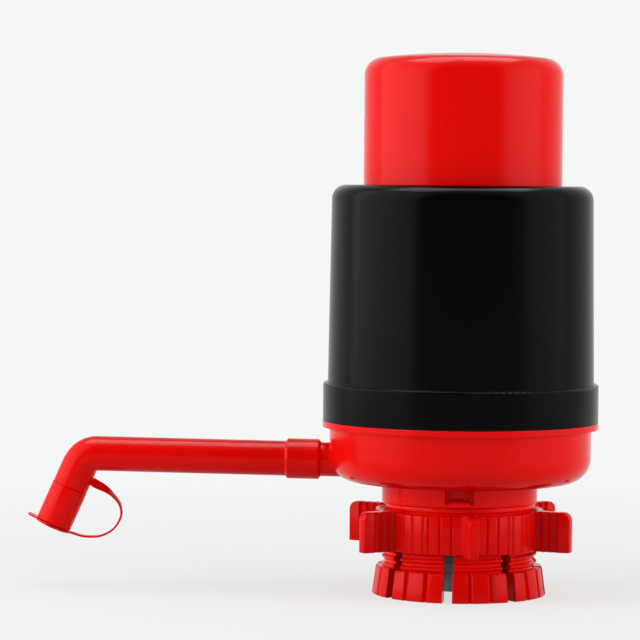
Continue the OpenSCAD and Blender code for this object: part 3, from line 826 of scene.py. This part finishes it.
@dataclass
class Seals:
    """The flat rings, the sleeve and the valves: pressed rubber pieces with rounded edges."""

    finishes: FinishKit
    gasket_inner: float = 42.9
    washer: tuple[float, float] = (6.6, 10.8)
    washer_low: float = 43.6
    seal: tuple[float, float] = (20.5, 27.8)
    seal_low: float = 31.7
    seal_top: float = 34.2
    o_ring: tuple[float, float] = (6.05, 6.85)
    o_ring_half: float = 1.1
    o_ring_along: float = 10.0
    sleeve_outer: float = 9.8
    sleeve_inner: float = 8.05
    sleeve_low: float = 6.5
    sleeve_length: float = 16.0
    sleeve_ribs: int = 7
    rib_depth: float = 0.75
    rib_share: float = 0.6
    flap_radius: float = 10.0
    inlet_plate: float = 2.5
    outlet_plate: float = 3.0

    def sleeve_corners(self) -> list[Corner]:
        """Draw the outline of the ribbed sleeve on the pipe socket.

        Returns:
            The outline's corners.
        """
        gap = 1 - self.rib_share
        pitch = self.sleeve_length / (self.sleeve_ribs - gap)
        valley = self.sleeve_outer - self.rib_depth
        corners = [Corner(self.sleeve_inner, self.sleeve_low)]
        for i in range(self.sleeve_ribs):
            low = self.sleeve_low + i * pitch
            for radius, share, rounding in (
                (self.sleeve_outer, 0.02, 0.3),
                (self.sleeve_outer, self.rib_share, 0.3),
                (valley, 0.7, 0.12),
                (valley, 0.92, 0.12),
            ):
                corners.append(Corner(radius, low + share * pitch, rounding))
        # The last rib has no valley above it.
        top = Corner(self.sleeve_inner, self.sleeve_low + self.sleeve_length - gap * pitch)
        return corners[:-2] + [top]

    def valve_corners(self, underside: float, plate: float) -> list[Corner]:
        """Draw the outline of an umbrella valve.

        Args:
            underside: height of the underside of the plate that carries the valve.
            plate: thickness of that plate.

        Returns:
            The outline's corners: the flap below the plate, the stem through it and the head above.
        """
        flap = underside - 0.1
        above = underside + plate
        return [
            Corner(0, flap - 1.6),
            Corner(3.0, flap - 1.5, 0.8),
            Corner(self.flap_radius, flap - 0.5, 0.2),
            Corner(self.flap_radius, flap, 0.1),
            Corner(4.0, flap - 0.25, 0.3),
            Corner(2.0, flap - 0.1, 0.2),
            Corner(2.0, above),
            Corner(3.0, above + 0.1, 0.2),
            Corner(2.9, above + 0.8, 0.3),
            Corner(1.4, above + 2.2, 0.3),
            Corner(0, above + 2.3),
        ]

    def ring(
        self, name: str, radii: tuple[float, float], levels: tuple[float, float], rounding: float
    ) -> Piece:
        """Turn a flat ring with rounded edges.

        Args:
            name: the piece's name.
            radii: inner and outer radius.
            levels: heights of its underside and its top.
            rounding: radius of its edges.

        Returns:
            The ring.
        """
        (inner, outer), (low, high) = radii, levels
        places = ((inner, low), (outer, low), (outer, high), (inner, high))
        return Lathe().turn(name, [Corner(radius, height, rounding) for radius, height in places])

    def bottle_seal(self) -> Piece:
        """Turn the seal that the bottle's mouth presses on, with a groove in its face.

        Returns:
            The seal.
        """
        (inner, outer), low = self.seal, self.seal_low
        groove = [(22.6, low, 0.0), (23.2, low + 0.4, 0.2), (25.4, low + 0.4, 0.2), (26.0, low, 0.0)]
        edges = [(outer, low, 0.3), (outer, self.seal_top, 0.3), (inner, self.seal_top, 0.3)]
        corners = [(inner, low, 0.3), *groove, *edges]
        return Lathe().turn("bottle_seal_ring", [Corner(*corner) for corner in corners])

    def build(self) -> None:
        """Make the gasket, the washer, the bottle's seal, the sleeve, the spout's ring and both valves."""
        gasket = self.ring(
            "plate_gasket_ring",
            (self.gasket_inner, LEVELS.stack_radius),
            (LEVELS.ledge, LEVELS.plate),
            0.25,
        )
        drill(gasket, LEVELS.ledge, LEVELS.plate, LEVELS.base_screw_radius, spread(30, 6))
        washer = self.ring("socket_washer", self.washer, (self.washer_low, LEVELS.bowl), 0.3)
        seal = self.bottle_seal()
        sleeve = Lathe(72).turn("ribbed_sleeve", self.sleeve_corners())
        o_ring = self.ring("spout_seal_ring", self.o_ring, (-self.o_ring_half, self.o_ring_half), 0.38)
        along = Matrix.Translation(Vector((self.o_ring_along * MM, 0, 0)))
        settle(o_ring, SPOUT.spout_place() @ along @ Matrix.Rotation(math.pi / 2, 4, "Y"))
        valve = Lathe(48)
        inlet = valve.turn(
            "inlet_umbrella_valve", self.valve_corners(LEVELS.top_plate, self.inlet_plate)
        )
        outlet = valve.turn("outlet_umbrella_valve", self.valve_corners(LEVELS.plate, self.outlet_plate))
        for piece, body, node in (
            (gasket, Body.PUMP, "plate_gasket"),
            (washer, Body.PUMP, "socket_seal"),
            (seal, Body.PUMP, "bottle_seal"),
            (sleeve, Body.PUMP, "pipe_sleeve"),
            (o_ring, Body.SPOUT, "spout_o_ring"),
            (inlet, Body.PLUNGER, "inlet_valve"),
            (outlet, Body.PUMP, "outlet_valve"),
        ):
            self.finishes.complete(piece, Slot.DARK_RUBBER, body, node)


# ---------------------------------------------------------------- bottle clamp


@dataclass
class BottleClamp:
    """The split collet that grips the bottle's neck, with its coarse right-hand thread and fluted foot.

    The catches' tongue and lip, and the window above them, are a depth and a height. Where each
    lies is its middle's distance from the axis and its height.
    """

    finishes: FinishKit
    bore: float = 28.0
    chamfer: float = 1.2
    valley: float = 29.9
    thread_turns: int = 7
    thread_top: float = 35.2
    thread_sink: float = 0.5
    thread_feet: tuple[float, float] = (0.9, 0.8)
    thread_flat: float = 0.3
    foot_bottom: float = 34.8
    foot_top: float = 33.2
    foot_height: float = 11.4
    stop_radius: float = 30.4
    stop_top: float = 36.9
    seal_seat: float = 34.2
    spigot_outer: float = 28.9
    spigot_inner: float = 26.8
    spigot_top: float = 44.1
    slot_width: float = 4.0
    slot_top: float = 31.0
    slot_depth: float = 12.0
    slot_middle: float = 31.5
    slot_count: int = 8
    first_slot: float = -97.5
    panel_count: int = 24
    groove_radius: float = 1.25
    groove_length: float = 16.0
    catch_angles: tuple[float, ...] = (-90.0, 30.0, 150.0)
    catch_width: float = 8.2
    catch_edge: float = 0.18
    tongue: tuple[float, float] = (3.4, 0.9)
    tongue_at: tuple[float, float] = (30.2, 39.1)
    lip: tuple[float, float] = (0.8, 2.35)
    lip_at: tuple[float, float] = (31.58, 38.4)
    window: tuple[float, float] = (6.0, 3.4)
    window_at: tuple[float, float] = (28.0, 41.5)
    edge: float = 0.3

    def body_corners(self) -> list[Corner]:
        """Draw the outline of the collet without its thread.

        Returns:
            The outline's corners, from the foot up the outside and down the inside.
        """
        return [
            Corner(self.bore + self.chamfer, 0),
            Corner(self.foot_bottom, 0, 0.4),
            Corner(self.foot_top, self.foot_height, 0.6),
            Corner(self.valley, self.foot_height, 0.2),
            Corner(self.valley, self.thread_top - 0.6),
            Corner(self.stop_radius, self.thread_top),
            Corner(self.stop_radius, self.stop_top, 0.2),
            Corner(self.spigot_outer, self.stop_top),
            Corner(self.spigot_outer, self.spigot_top, self.edge),
            Corner(self.spigot_inner, self.spigot_top, self.edge),
            Corner(self.spigot_inner, self.seal_seat),
            Corner(self.bore, self.seal_seat),
            Corner(self.bore, self.chamfer),
        ]

    def thread_ridge(self) -> Piece:
        """Wind one tooth of the thread up the barrel.

        Returns:
            A closed helical ridge.
        """
        root, low = self.valley - self.thread_sink, THREAD.start
        foot, flank = (THREAD.pitch / 2 * share for share in self.thread_feet)
        tooth = [
            Corner(root, low - foot),
            Corner(self.valley, low - flank),
            Corner(THREAD.crest, low - self.thread_flat),
            Corner(THREAD.crest, low + self.thread_flat),
            Corner(self.valley, low + flank),
            Corner(root, low + foot),
        ]
        return wind("clamp_thread_ridge", tooth, THREAD.pitch, self.thread_turns)

    def panel_groove(self) -> Piece:
        """Make the leaning four-sided rod that cuts the groove between two grip panels.

        Returns:
            The rod, on +X.
        """
        lean = math.atan((self.foot_bottom - self.foot_top) / self.foot_height)
        middle = Vector(((self.foot_bottom + self.foot_top) / 2, 0, self.foot_height / 2)) * MM
        leaning = Matrix.Translation(middle) @ Matrix.Rotation(-lean, 4, "Y")
        return settle(rod(self.groove_radius, self.groove_length, (0, 0, 0), 4), leaning)

    def bar(self, size: tuple[float, float], place: tuple[float, float]) -> Piece:
        """Make a block on +X that is as wide as a catch.

        Args:
            size: its depth and height.
            place: its middle's distance from the axis and its height.

        Returns:
            The block.
        """
        (depth, height), (distance, middle) = size, place
        return block((depth, self.catch_width, height), (distance, 0, middle))

    def catch(self) -> Piece:
        """Make one catch: a tongue through the neck's window, with a lip that hooks down over its edge.

        Returns:
            The catch, on +X.
        """
        tongue = self.bar(self.tongue, self.tongue_at)
        combine(tongue, self.bar(self.lip, self.lip_at), Shaping.ADD)
        round_edges(tongue, self.catch_edge)
        return tongue

    def build(self) -> None:
        """Turn the collet, cut its thread, slots and panels, and set its catches."""
        clamp = Lathe(144).turn("threaded_bottle_clamp", self.body_corners())
        slot = block(
            (self.slot_depth, self.slot_width, self.slot_top + 1),
            (self.slot_middle, 0, (self.slot_top - 1) / 2),
        )
        window = self.bar(self.window, self.window_at)
        combine(clamp, self.thread_ridge(), Shaping.ADD)
        for tool, angles, shaping in (
            (slot, spread(self.first_slot, self.slot_count), Shaping.CUT),
            (self.panel_groove(), spread(self.first_slot, self.panel_count), Shaping.CUT),
            (window, self.catch_angles, Shaping.CUT),
            (self.catch(), self.catch_angles, Shaping.ADD),
        ):
            combine(clamp, array_round(tool, angles), shaping)
        self.finishes.complete(clamp, Slot.RED, Body.PUMP, "bottle_clamp", angle=28)


# ---------------------------------------------------------------- wing nut


@dataclass
class WingNut:
    """The nut that closes the clamp: a grooved ring with fluted wings, bored and threaded inside."""

    finishes: FinishKit
    low: float = 18.7
    height: float = 15.3
    radius: float = 33.7
    chamfer: float = 1.0
    edge: float = 0.5
    wing_count: int = 6
    first_wing: float = -83.0
    wing_reach: float = 14.1
    wing_height: float = 16.0
    root_width: float = 6.2
    tip_width: float = 4.0
    corner_radius: float = 3.2
    wing_sink: float = 0.6
    wing_edge: float = 0.45
    flute_radius: float = 1.55
    flute_bite: float = 1.3
    flute_places: tuple[float, ...] = (1.7, 4.9, 8.1)
    groove_radius: float = 0.62
    groove_turns: tuple[float, ...] = (12.0, 20.0, 28.0)
    cutter_length: float = 30.0
    thread_turns: int = 8
    thread_depth: float = 0.9
    thread_overlap: float = 0.2
    thread_share: float = 0.85
    thread_flat: float = 0.35

    def body_corners(self) -> list[Corner]:
        """Draw the outline of the nut's ring.

        Returns:
            The outline's corners.
        """
        bore = THREAD.crest + THREAD.clearance
        top = self.low + self.height
        return [
            Corner(bore + self.chamfer, self.low),
            Corner(self.radius, self.low, self.edge),
            Corner(self.radius, top, self.edge),
            Corner(bore + self.chamfer, top),
            Corner(bore, top - self.chamfer),
            Corner(bore, self.low + self.chamfer),
        ]

    def half_width(self, out: float) -> float:
        """Return half the wing's width at a distance out from the ring."""
        return (self.root_width + (self.tip_width - self.root_width) * out / self.wing_reach) / 2

    def wing(self) -> Piece:
        """Shape one wing on +X: a tapered plate with a round upper corner and scalloped flanks.

        Returns:
            The wing.
        """
        root, tip = self.radius - self.wing_sink, self.radius + self.wing_reach
        plate = block(
            (tip - root, self.root_width, self.wing_height),
            ((tip + root) / 2, 0, self.low + self.wing_height / 2),
        )
        plate.name = "nut_wing"
        half, top = self.root_width / 2, self.low + self.wing_height
        edit(plate)
        ends = [Vector((tip, y, z)) * MM for y in (-half, half) for z in (self.low, top)]
        pick_vertices(plate, ends)
        bpy.ops.transform.resize(value=(1, self.tip_width / self.root_width, 1), center_override=(0, 0, 0))
        corner = [Vector((tip, y, top)) * MM for y in (-self.tip_width / 2, self.tip_width / 2)]
        pick_vertices(plate, corner)
        bpy.ops.mesh.bevel(offset=self.corner_radius * MM, segments=7, affect="EDGES")
        bpy.ops.object.mode_set(mode="OBJECT")
        round_edges(plate, self.wing_edge)
        for out in self.flute_places:
            for side in (-1, 1):
                offset = self.half_width(out) + self.flute_radius - self.flute_bite
                centre = (self.radius + out, side * offset, self.low + self.height / 2)
                combine(plate, rod(self.flute_radius, self.cutter_length, centre, 28), Shaping.CUT)
        return plate

    def grooves(self) -> Piece:
        """Make the upright four-sided rods that cut the ring's grooves.

        Returns:
            One object that holds all the rods.
        """
        centre = (self.radius, 0, self.low + self.height / 2)
        angles = [
            wing + side * turn
            for wing in spread(self.first_wing, self.wing_count)
            for turn in self.groove_turns
            for side in (-1, 1)
        ]
        return array_round(rod(self.groove_radius, self.cutter_length, centre, 4), angles)

    def thread_cut(self) -> Piece:
        """Wind the bar that cuts the thread into the bore.

        Returns:
            The helical bar.
        """
        low, mouth = THREAD.start + THREAD.pitch, THREAD.pitch / 2 * self.thread_share
        bore, root = THREAD.crest - self.thread_overlap, THREAD.crest + self.thread_depth
        tooth = [
            Corner(bore, low - mouth),
            Corner(root, low - self.thread_flat),
            Corner(root, low + self.thread_flat),
            Corner(bore, low + mouth),
        ]
        return wind("nut_thread_cut", tooth, THREAD.pitch, self.thread_turns)

    def build(self) -> None:
        """Turn the ring, groove it, set its wings and thread its bore."""
        nut = Lathe(144).turn("fluted_wing_nut", self.body_corners())
        combine(nut, self.grooves(), Shaping.CUT)
        wings = array_round(self.wing(), spread(self.first_wing, self.wing_count))
        combine(nut, wings, Shaping.ADD)
        combine(nut, self.thread_cut(), Shaping.CUT)
        self.finishes.complete(nut, Slot.RED, Body.NUT, "wing_nut", angle=28)


# ---------------------------------------------------------------- nozzle tip and its lid


@dataclass
class NozzleEnd:
    """The sleeve pushed over the spout's stub, and the lid with its plug and pull tab."""

    finishes: FinishKit
    start: float = 14.5
    outer: float = 7.25
    bore: float = 4.6
    pocket: float = 6.15
    pocket_depth: float = 8.2
    joint_depth: float = 0.5
    joint_width: float = 0.25
    joint_slope: float = 0.2
    plug: float = 4.55
    plug_depth: float = 4.0
    plug_wall: float = 1.2
    bulge: float = 0.8
    tab_reach: float = 3.3
    tab_root: float = 2.0
    tab_width: float = 6.0
    tab_thickness: float = 0.6
    tab_step: float = 0.12
    tab_droop: float = 0.1
    tab_rounding: float = 2.4

    def tip(self) -> Piece:
        """Turn the nozzle's sleeve, with a fine gap at the joint and a rounded mouth.

        Returns:
            The sleeve, upright.
        """
        end, start = SPOUT.nozzle_end, self.start
        groove, step = self.outer - self.joint_depth, start + self.joint_width
        return Lathe().turn(
            "nozzle_sleeve",
            [
                Corner(self.pocket, start),
                Corner(groove, start),
                Corner(groove, step),
                Corner(self.outer, step + self.joint_slope, 0.12),
                Corner(self.outer, end, 0.35),
                Corner(self.bore, end, 0.3),
                Corner(self.bore, start + self.pocket_depth),
                Corner(self.pocket, start + self.pocket_depth),
            ],
        )

    def lid(self) -> Piece:
        """Turn the lid with its hollow plug, and join the thin pull tab to its rim.

        Returns:
            The lid, upright.
        """
        low, high = SPOUT.lid_start, SPOUT.lid_start + SPOUT.lid_height
        lid = Lathe().turn(
            "nozzle_lid",
            [
                Corner(0, low),
                Corner(self.plug - self.plug_wall, low),
                Corner(self.plug - self.plug_wall, low - self.plug_depth, 0.3),
                Corner(self.plug, low - self.plug_depth, 0.5),
                Corner(self.plug, low),
                Corner(SPOUT.lid_radius, low, 0.25),
                Corner(SPOUT.lid_radius, high, 0.3),
                Corner(SPOUT.lid_radius * 0.6, high + self.bulge * 0.64, 0.3),
                Corner(0, high + self.bulge),
            ],
        )
        reach, start = SPOUT.lid_radius + self.tab_reach, SPOUT.lid_radius - self.tab_root
        tab = block(
            (reach - start, self.tab_width, self.tab_thickness),
            (-(reach + start) / 2, 0, low + self.tab_step + self.tab_thickness / 2),
        )
        edit(tab)
        half = self.tab_width / 2
        heights = (low + self.tab_step, low + self.tab_step + self.tab_thickness)
        pick_vertices(tab, [Vector((-reach, y, z)) * MM for y in (-half, half) for z in heights])
        bpy.ops.transform.translate(value=(0, 0, -self.tab_droop * MM))
        for y in (-half, half):
            pick_vertices(tab, [Vector((-reach, y, z - self.tab_droop)) * MM for z in heights])
            bpy.ops.mesh.bevel(offset=self.tab_rounding * MM, segments=6, affect="EDGES")
        bpy.ops.object.mode_set(mode="OBJECT")
        combine(lid, tab, Shaping.ADD)
        return lid

    def build(self) -> None:
        """Make both pieces and set them on the nozzle's axis."""
        upright = SPOUT.nozzle_place() @ Matrix.Rotation(math.pi / 2, 4, "Y")
        tip, lid = settle(self.tip(), upright), settle(self.lid(), upright)
        for piece, body, node in ((tip, Body.SPOUT, "nozzle_tip"), (lid, Body.LID, "tip_cap")):
            self.finishes.complete(piece, Slot.RED, body, node)


# ---------------------------------------------------------------- lid strap


@dataclass
class LidStrap:
    """The ribbon that ties the lid to the spout, which twists on its way.

    The route is in millimetres along the nozzle and out from it. The turns are in degrees, one for
    each of its points.
    """

    finishes: FinishKit
    width: float = 3.5
    thickness: float = 0.8
    rounding: float = 0.3
    turns: tuple[float, ...] = (90.0, 12.0, 0.0, 0.0, 0.0, 0.0, 0.0)
    route: tuple[tuple[float, float], ...] = (
        (9.3, 7.05),
        (10.7, 16.8),
        (14.5, 22.5),
        (20.0, 23.7),
        (26.1, 21.1),
        (30.3, 14.8),
        (31.75, 7.75),
    )

    def point(self, along: float, out: float) -> Vector:
        """Return a point of the route in the nozzle's frame, in metres."""
        return Vector((along, 0, -out)) * MM

    def section(self) -> Piece:
        """Make the ribbon's rounded section as a closed curve.

        Returns:
            The curve that the route carries along.
        """
        clear_selection()
        bpy.ops.mesh.primitive_plane_add(size=1)
        piece = bpy.context.object
        piece.data.transform(Matrix.Diagonal((self.width * MM, self.thickness * MM, 1, 1)))
        bpy.ops.object.mode_set(mode="EDIT")
        bpy.ops.mesh.select_all(action="SELECT")
        bpy.ops.mesh.bevel(offset=self.rounding * MM, offset_type="OFFSET", segments=3, affect="VERTICES")
        bpy.ops.mesh.delete(type="ONLY_FACE")
        bpy.ops.object.mode_set(mode="OBJECT")
        bpy.ops.object.convert(target="CURVE")
        return bpy.context.object

    def build(self) -> None:
        """Sweep the section along the strap's route and bend it between the spout and the lid."""
        section = self.section()
        curve = bpy.data.curves.new("lid_strap", "CURVE")
        curve.dimensions = "3D"
        curve.twist_mode = "MINIMUM"
        curve.resolution_u = 10
        curve.bevel_mode = "OBJECT"
        curve.bevel_object = section
        curve.use_fill_caps = True
        line = curve.splines.new("BEZIER")
        line.bezier_points.add(len(self.route) - 1)
        for knot, place, turn in zip(line.bezier_points, self.route, self.turns):
            knot.co = self.point(*place)
            knot.handle_left_type = knot.handle_right_type = "AUTO"
            knot.tilt = math.radians(turn)
        pick(stand("lid_strap", curve))
        bpy.ops.object.convert(target="MESH")
        piece = bpy.context.object
        bpy.data.objects.remove(section, do_unlink=True)
        close_up(piece)
        settle(piece, SPOUT.nozzle_place())
        smooth(piece, 50)
        self.finishes.dress(piece, Slot.RED)
        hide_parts("cap_strap")
        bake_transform(piece)
        LOG.info("built %s, %d faces", piece.name, len(piece.data.polygons))


# ---------------------------------------------------------------- studio


@dataclass(frozen=True)
class Lamp:
    """A softbox: its place and size in metres, its power in watts, and if it only shows in gloss."""

    name: str
    place: tuple[float, float, float]
    size: tuple[float, float]
    power: float
    in_gloss: bool

    def hang(self, aim: Vector) -> None:
        """Hang the softbox and turn it to a point.

        Args:
            aim: the point that it faces, in metres.
        """
        data = bpy.data.lights.new(self.name, "AREA")
        data.shape = "RECTANGLE"
        data.size, data.size_y = self.size
        data.energy = self.power
        lamp = stand(self.name, data)
        lamp.location = self.place
        lamp.rotation_euler = (aim - Vector(self.place)).to_track_quat("-Z", "Y").to_euler()
        lamp.visible_camera = False
        lamp.visible_diffuse = not self.in_gloss
        lamp.visible_glossy = self.in_gloss


@dataclass
class Studio:
    """The camera, the floor and the soft studio light, in metres and degrees."""

    background: str = "#F5F7F6"
    floor_paper: str = "#F2F3F2"
    floor_radius: float = 12.0
    floor_drop: float = 0.0002
    fade: tuple[float, float] = (0.12, 0.5)
    paper_share: float = 0.28
    bounce_near: str = "#9C9D9C"
    bounce_far: str = "#DFE0DF"
    bounce_reach: tuple[float, float] = (0.07, 0.17)
    room: str = "#F4F5F7"
    room_level: float = 0.1
    dark_end: tuple[float, float] = (-0.75, -0.35)
    dark_level: float = 0.05
    camera_distance: float = 1.256
    camera_height: float = 0.1635
    focal_length: float = 176.6
    yaw: float = 2.58
    pitch: float = 2.484
    roll: float = 0.5
    aim_height: float = 0.11
    lamps: tuple[Lamp, ...] = (
        Lamp("light_left", (-1.25, -0.45, 0.3), (1.3, 0.9), 19.5, False),
        Lamp("light_right", (1.25, -0.4, 0.3), (1.2, 0.9), 15.5, False),
        Lamp("light_above", (0.0, -0.1, 1.45), (1.6, 1.2), 10.0, False),
        Lamp("light_front", (-0.02, -1.5, 0.19), (0.25, 0.25), 0.6, False),
        Lamp("gloss_left", (-1.06, -0.3, 0.45), (1.6, 1.6), 15.0, True),
        Lamp("gloss_right", (1.07, -0.25, 0.45), (0.95, 1.6), 3.8, True),
        Lamp("gloss_above", (-0.05, 0.16, 1.45), (1.6, 0.8), 34.0, True),
    )

    def camera(self) -> None:
        """Set the camera where the photograph was taken from."""
        yaw, pitch, roll = (math.radians(a) for a in (self.yaw, self.pitch, self.roll))
        level = math.cos(pitch)
        ahead = Vector((-math.sin(yaw) * level, math.cos(yaw) * level, -math.sin(pitch)))
        right = Vector((math.cos(yaw), math.sin(yaw), 0))
        up = right.cross(ahead)
        right, up = (
            right * math.cos(roll) + up * math.sin(roll),
            up * math.cos(roll) - right * math.sin(roll),
        )
        data = bpy.data.cameras.new("camera")
        data.lens = self.focal_length
        data.sensor_width = 36
        data.clip_start, data.clip_end = 0.05, 50
        camera = stand("camera", data)
        turned = Matrix((right, up, -ahead)).transposed().to_4x4()
        camera.matrix_world = Matrix.Translation((0, -self.camera_distance, self.camera_height)) @ turned
        bpy.context.scene.camera = camera

    def seen(self, tree: Tree) -> bpy.types.Node:
        """Tell the rays that show the backdrop from those that light the pump.

        Args:
            tree: the node tree to add to.

        Returns:
            A node that gives 1 for rays from the camera, and for those that gloss and glass send on.
        """
        rays = add_node(tree, "LightPath")
        gloss = add_node(
            tree,
            "Math",
            {"operation": "MAXIMUM"},
            {0: rays.outputs["Is Glossy Ray"], 1: rays.outputs["Is Transmission Ray"]},
        )
        return add_node(
            tree,
            "Math",
            {"operation": "MAXIMUM"},
            {0: rays.outputs["Is Camera Ray"], 1: gloss},
        )

    def floor(self) -> None:
        """Lay a pale floor that fades into the background away from the pump."""
        clear_selection()
        bpy.ops.mesh.primitive_circle_add(
            vertices=64, radius=self.floor_radius, fill_type="NGON", location=(0, 0, -self.floor_drop)
        )
        floor = bpy.context.object
        floor.name = "floor"
        material, tree = new_material("pale_floor")
        place = add_node(tree, "TexCoord").outputs["Object"]
        reach = add_node(tree, "VectorMath", {"operation": "LENGTH"}, {0: place}).outputs["Value"]
        far, around = (
            add_node(
                tree,
                "MapRange",
                {"From Min": near, "From Max": end, "To Min": start},
                {"Value": reach},
            )
            for (near, end), start in ((self.fade, 1 - self.paper_share), (self.bounce_reach, 0.0))
        )
        # The camera sees pale paper with the pump's shadow, which fades into the background.
        paper = add_node(tree, "BsdfDiffuse", {"Color": linear(self.floor_paper)})
        plain = add_node(tree, "Emission", {"Color": linear(self.background), "Strength": 1.0})
        shown = add_node(tree, "MixShader", None, {0: far, 1: paper, 2: plain})
        # Close to the pump the paper sends less light back up: a painted shade in the floor's colour that
        # only the light bounced onto the pump sees, not the camera, so that the nut's hollows stay dark.
        tint = add_node(
            tree,
            "Mix",
            {"data_type": "RGBA", 6: linear(self.bounce_near), 7: linear(self.bounce_far)},
            {0: around},
        )
        bounce = add_node(tree, "BsdfDiffuse", None, {"Color": tint.outputs[2]})
        surface = add_node(tree, "MixShader", None, {0: self.seen(tree), 1: bounce, 2: shown})
        add_node(tree, "OutputMaterial", None, {"Surface": surface})
        floor.data.materials.append(material)

    def backdrop_level(self, tree: Tree) -> bpy.types.Node:
        """Darken the studio's end at -Y, for gloss alone.

        Args:
            tree: the world's node tree.

        Returns:
            The node that gives the background's strength, which is 1 elsewhere.
        """
        direction = add_node(tree, "TexCoord").outputs["Generated"]
        heading = add_node(tree, "SeparateXYZ", None, {"Vector": direction})
        start, end = self.dark_end
        dark_end = add_node(
            tree,
            "MapRange",
            {
                "From Min": start,
                "From Max": end,
                "To Min": self.dark_level,
                "interpolation_type": "SMOOTHSTEP",
            },
            {"Value": heading.outputs["Y"]},
        )
        rays = add_node(tree, "LightPath")
        return add_node(
            tree,
            "Mix",
            {"data_type": "FLOAT", 2: 1.0},
            {0: rays.outputs["Is Glossy Ray"], 3: dark_end},
        )

    def world(self) -> None:
        """Show the background colour to the camera and to gloss, and a dim pale room to all else."""
        world = bpy.data.worlds.new("studio_room")
        bpy.context.scene.world = world
        world.use_nodes = True
        tree = world.node_tree
        tree.nodes.clear()
        seen = add_node(
            tree,
            "Background",
            {"Color": linear(self.background)},
            {"Strength": self.backdrop_level(tree)},
        )
        room = add_node(tree, "Background", {"Color": linear(self.room), "Strength": self.room_level})
        mixed = add_node(tree, "MixShader", None, {0: self.seen(tree), 1: room, 2: seen})
        add_node(tree, "OutputWorld", None, {"Surface": mixed})

    def light(self) -> None:
        """Hang the softboxes, each turned to the pump's middle."""
        for lamp in self.lamps:
            lamp.hang(Vector((0, 0, self.aim_height)))

    def build(self) -> None:
        """Set up the whole studio."""
        self.camera()
        self.floor()
        self.world()
        self.light()
        bpy.context.scene.view_settings.view_transform = "Standard"


# ---------------------------------------------------------------- main


def main() -> None:
    """Load the frame, dress its nodes, build the new pieces and set up the studio."""
    logging.basicConfig(level=logging.INFO, format="%(name)s: %(message)s")
    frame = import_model()
    finishes = FinishKit()
    finishes.dress_nodes(frame)
    Studio().build()
    for assembly in (Bellows, Seals, BottleClamp, WingNut, NozzleEnd, LidStrap):
        LOG.info("building %s", assembly.__name__)
        assembly(finishes).build()
    clear_selection()


if __name__ == "__main__":
    main()
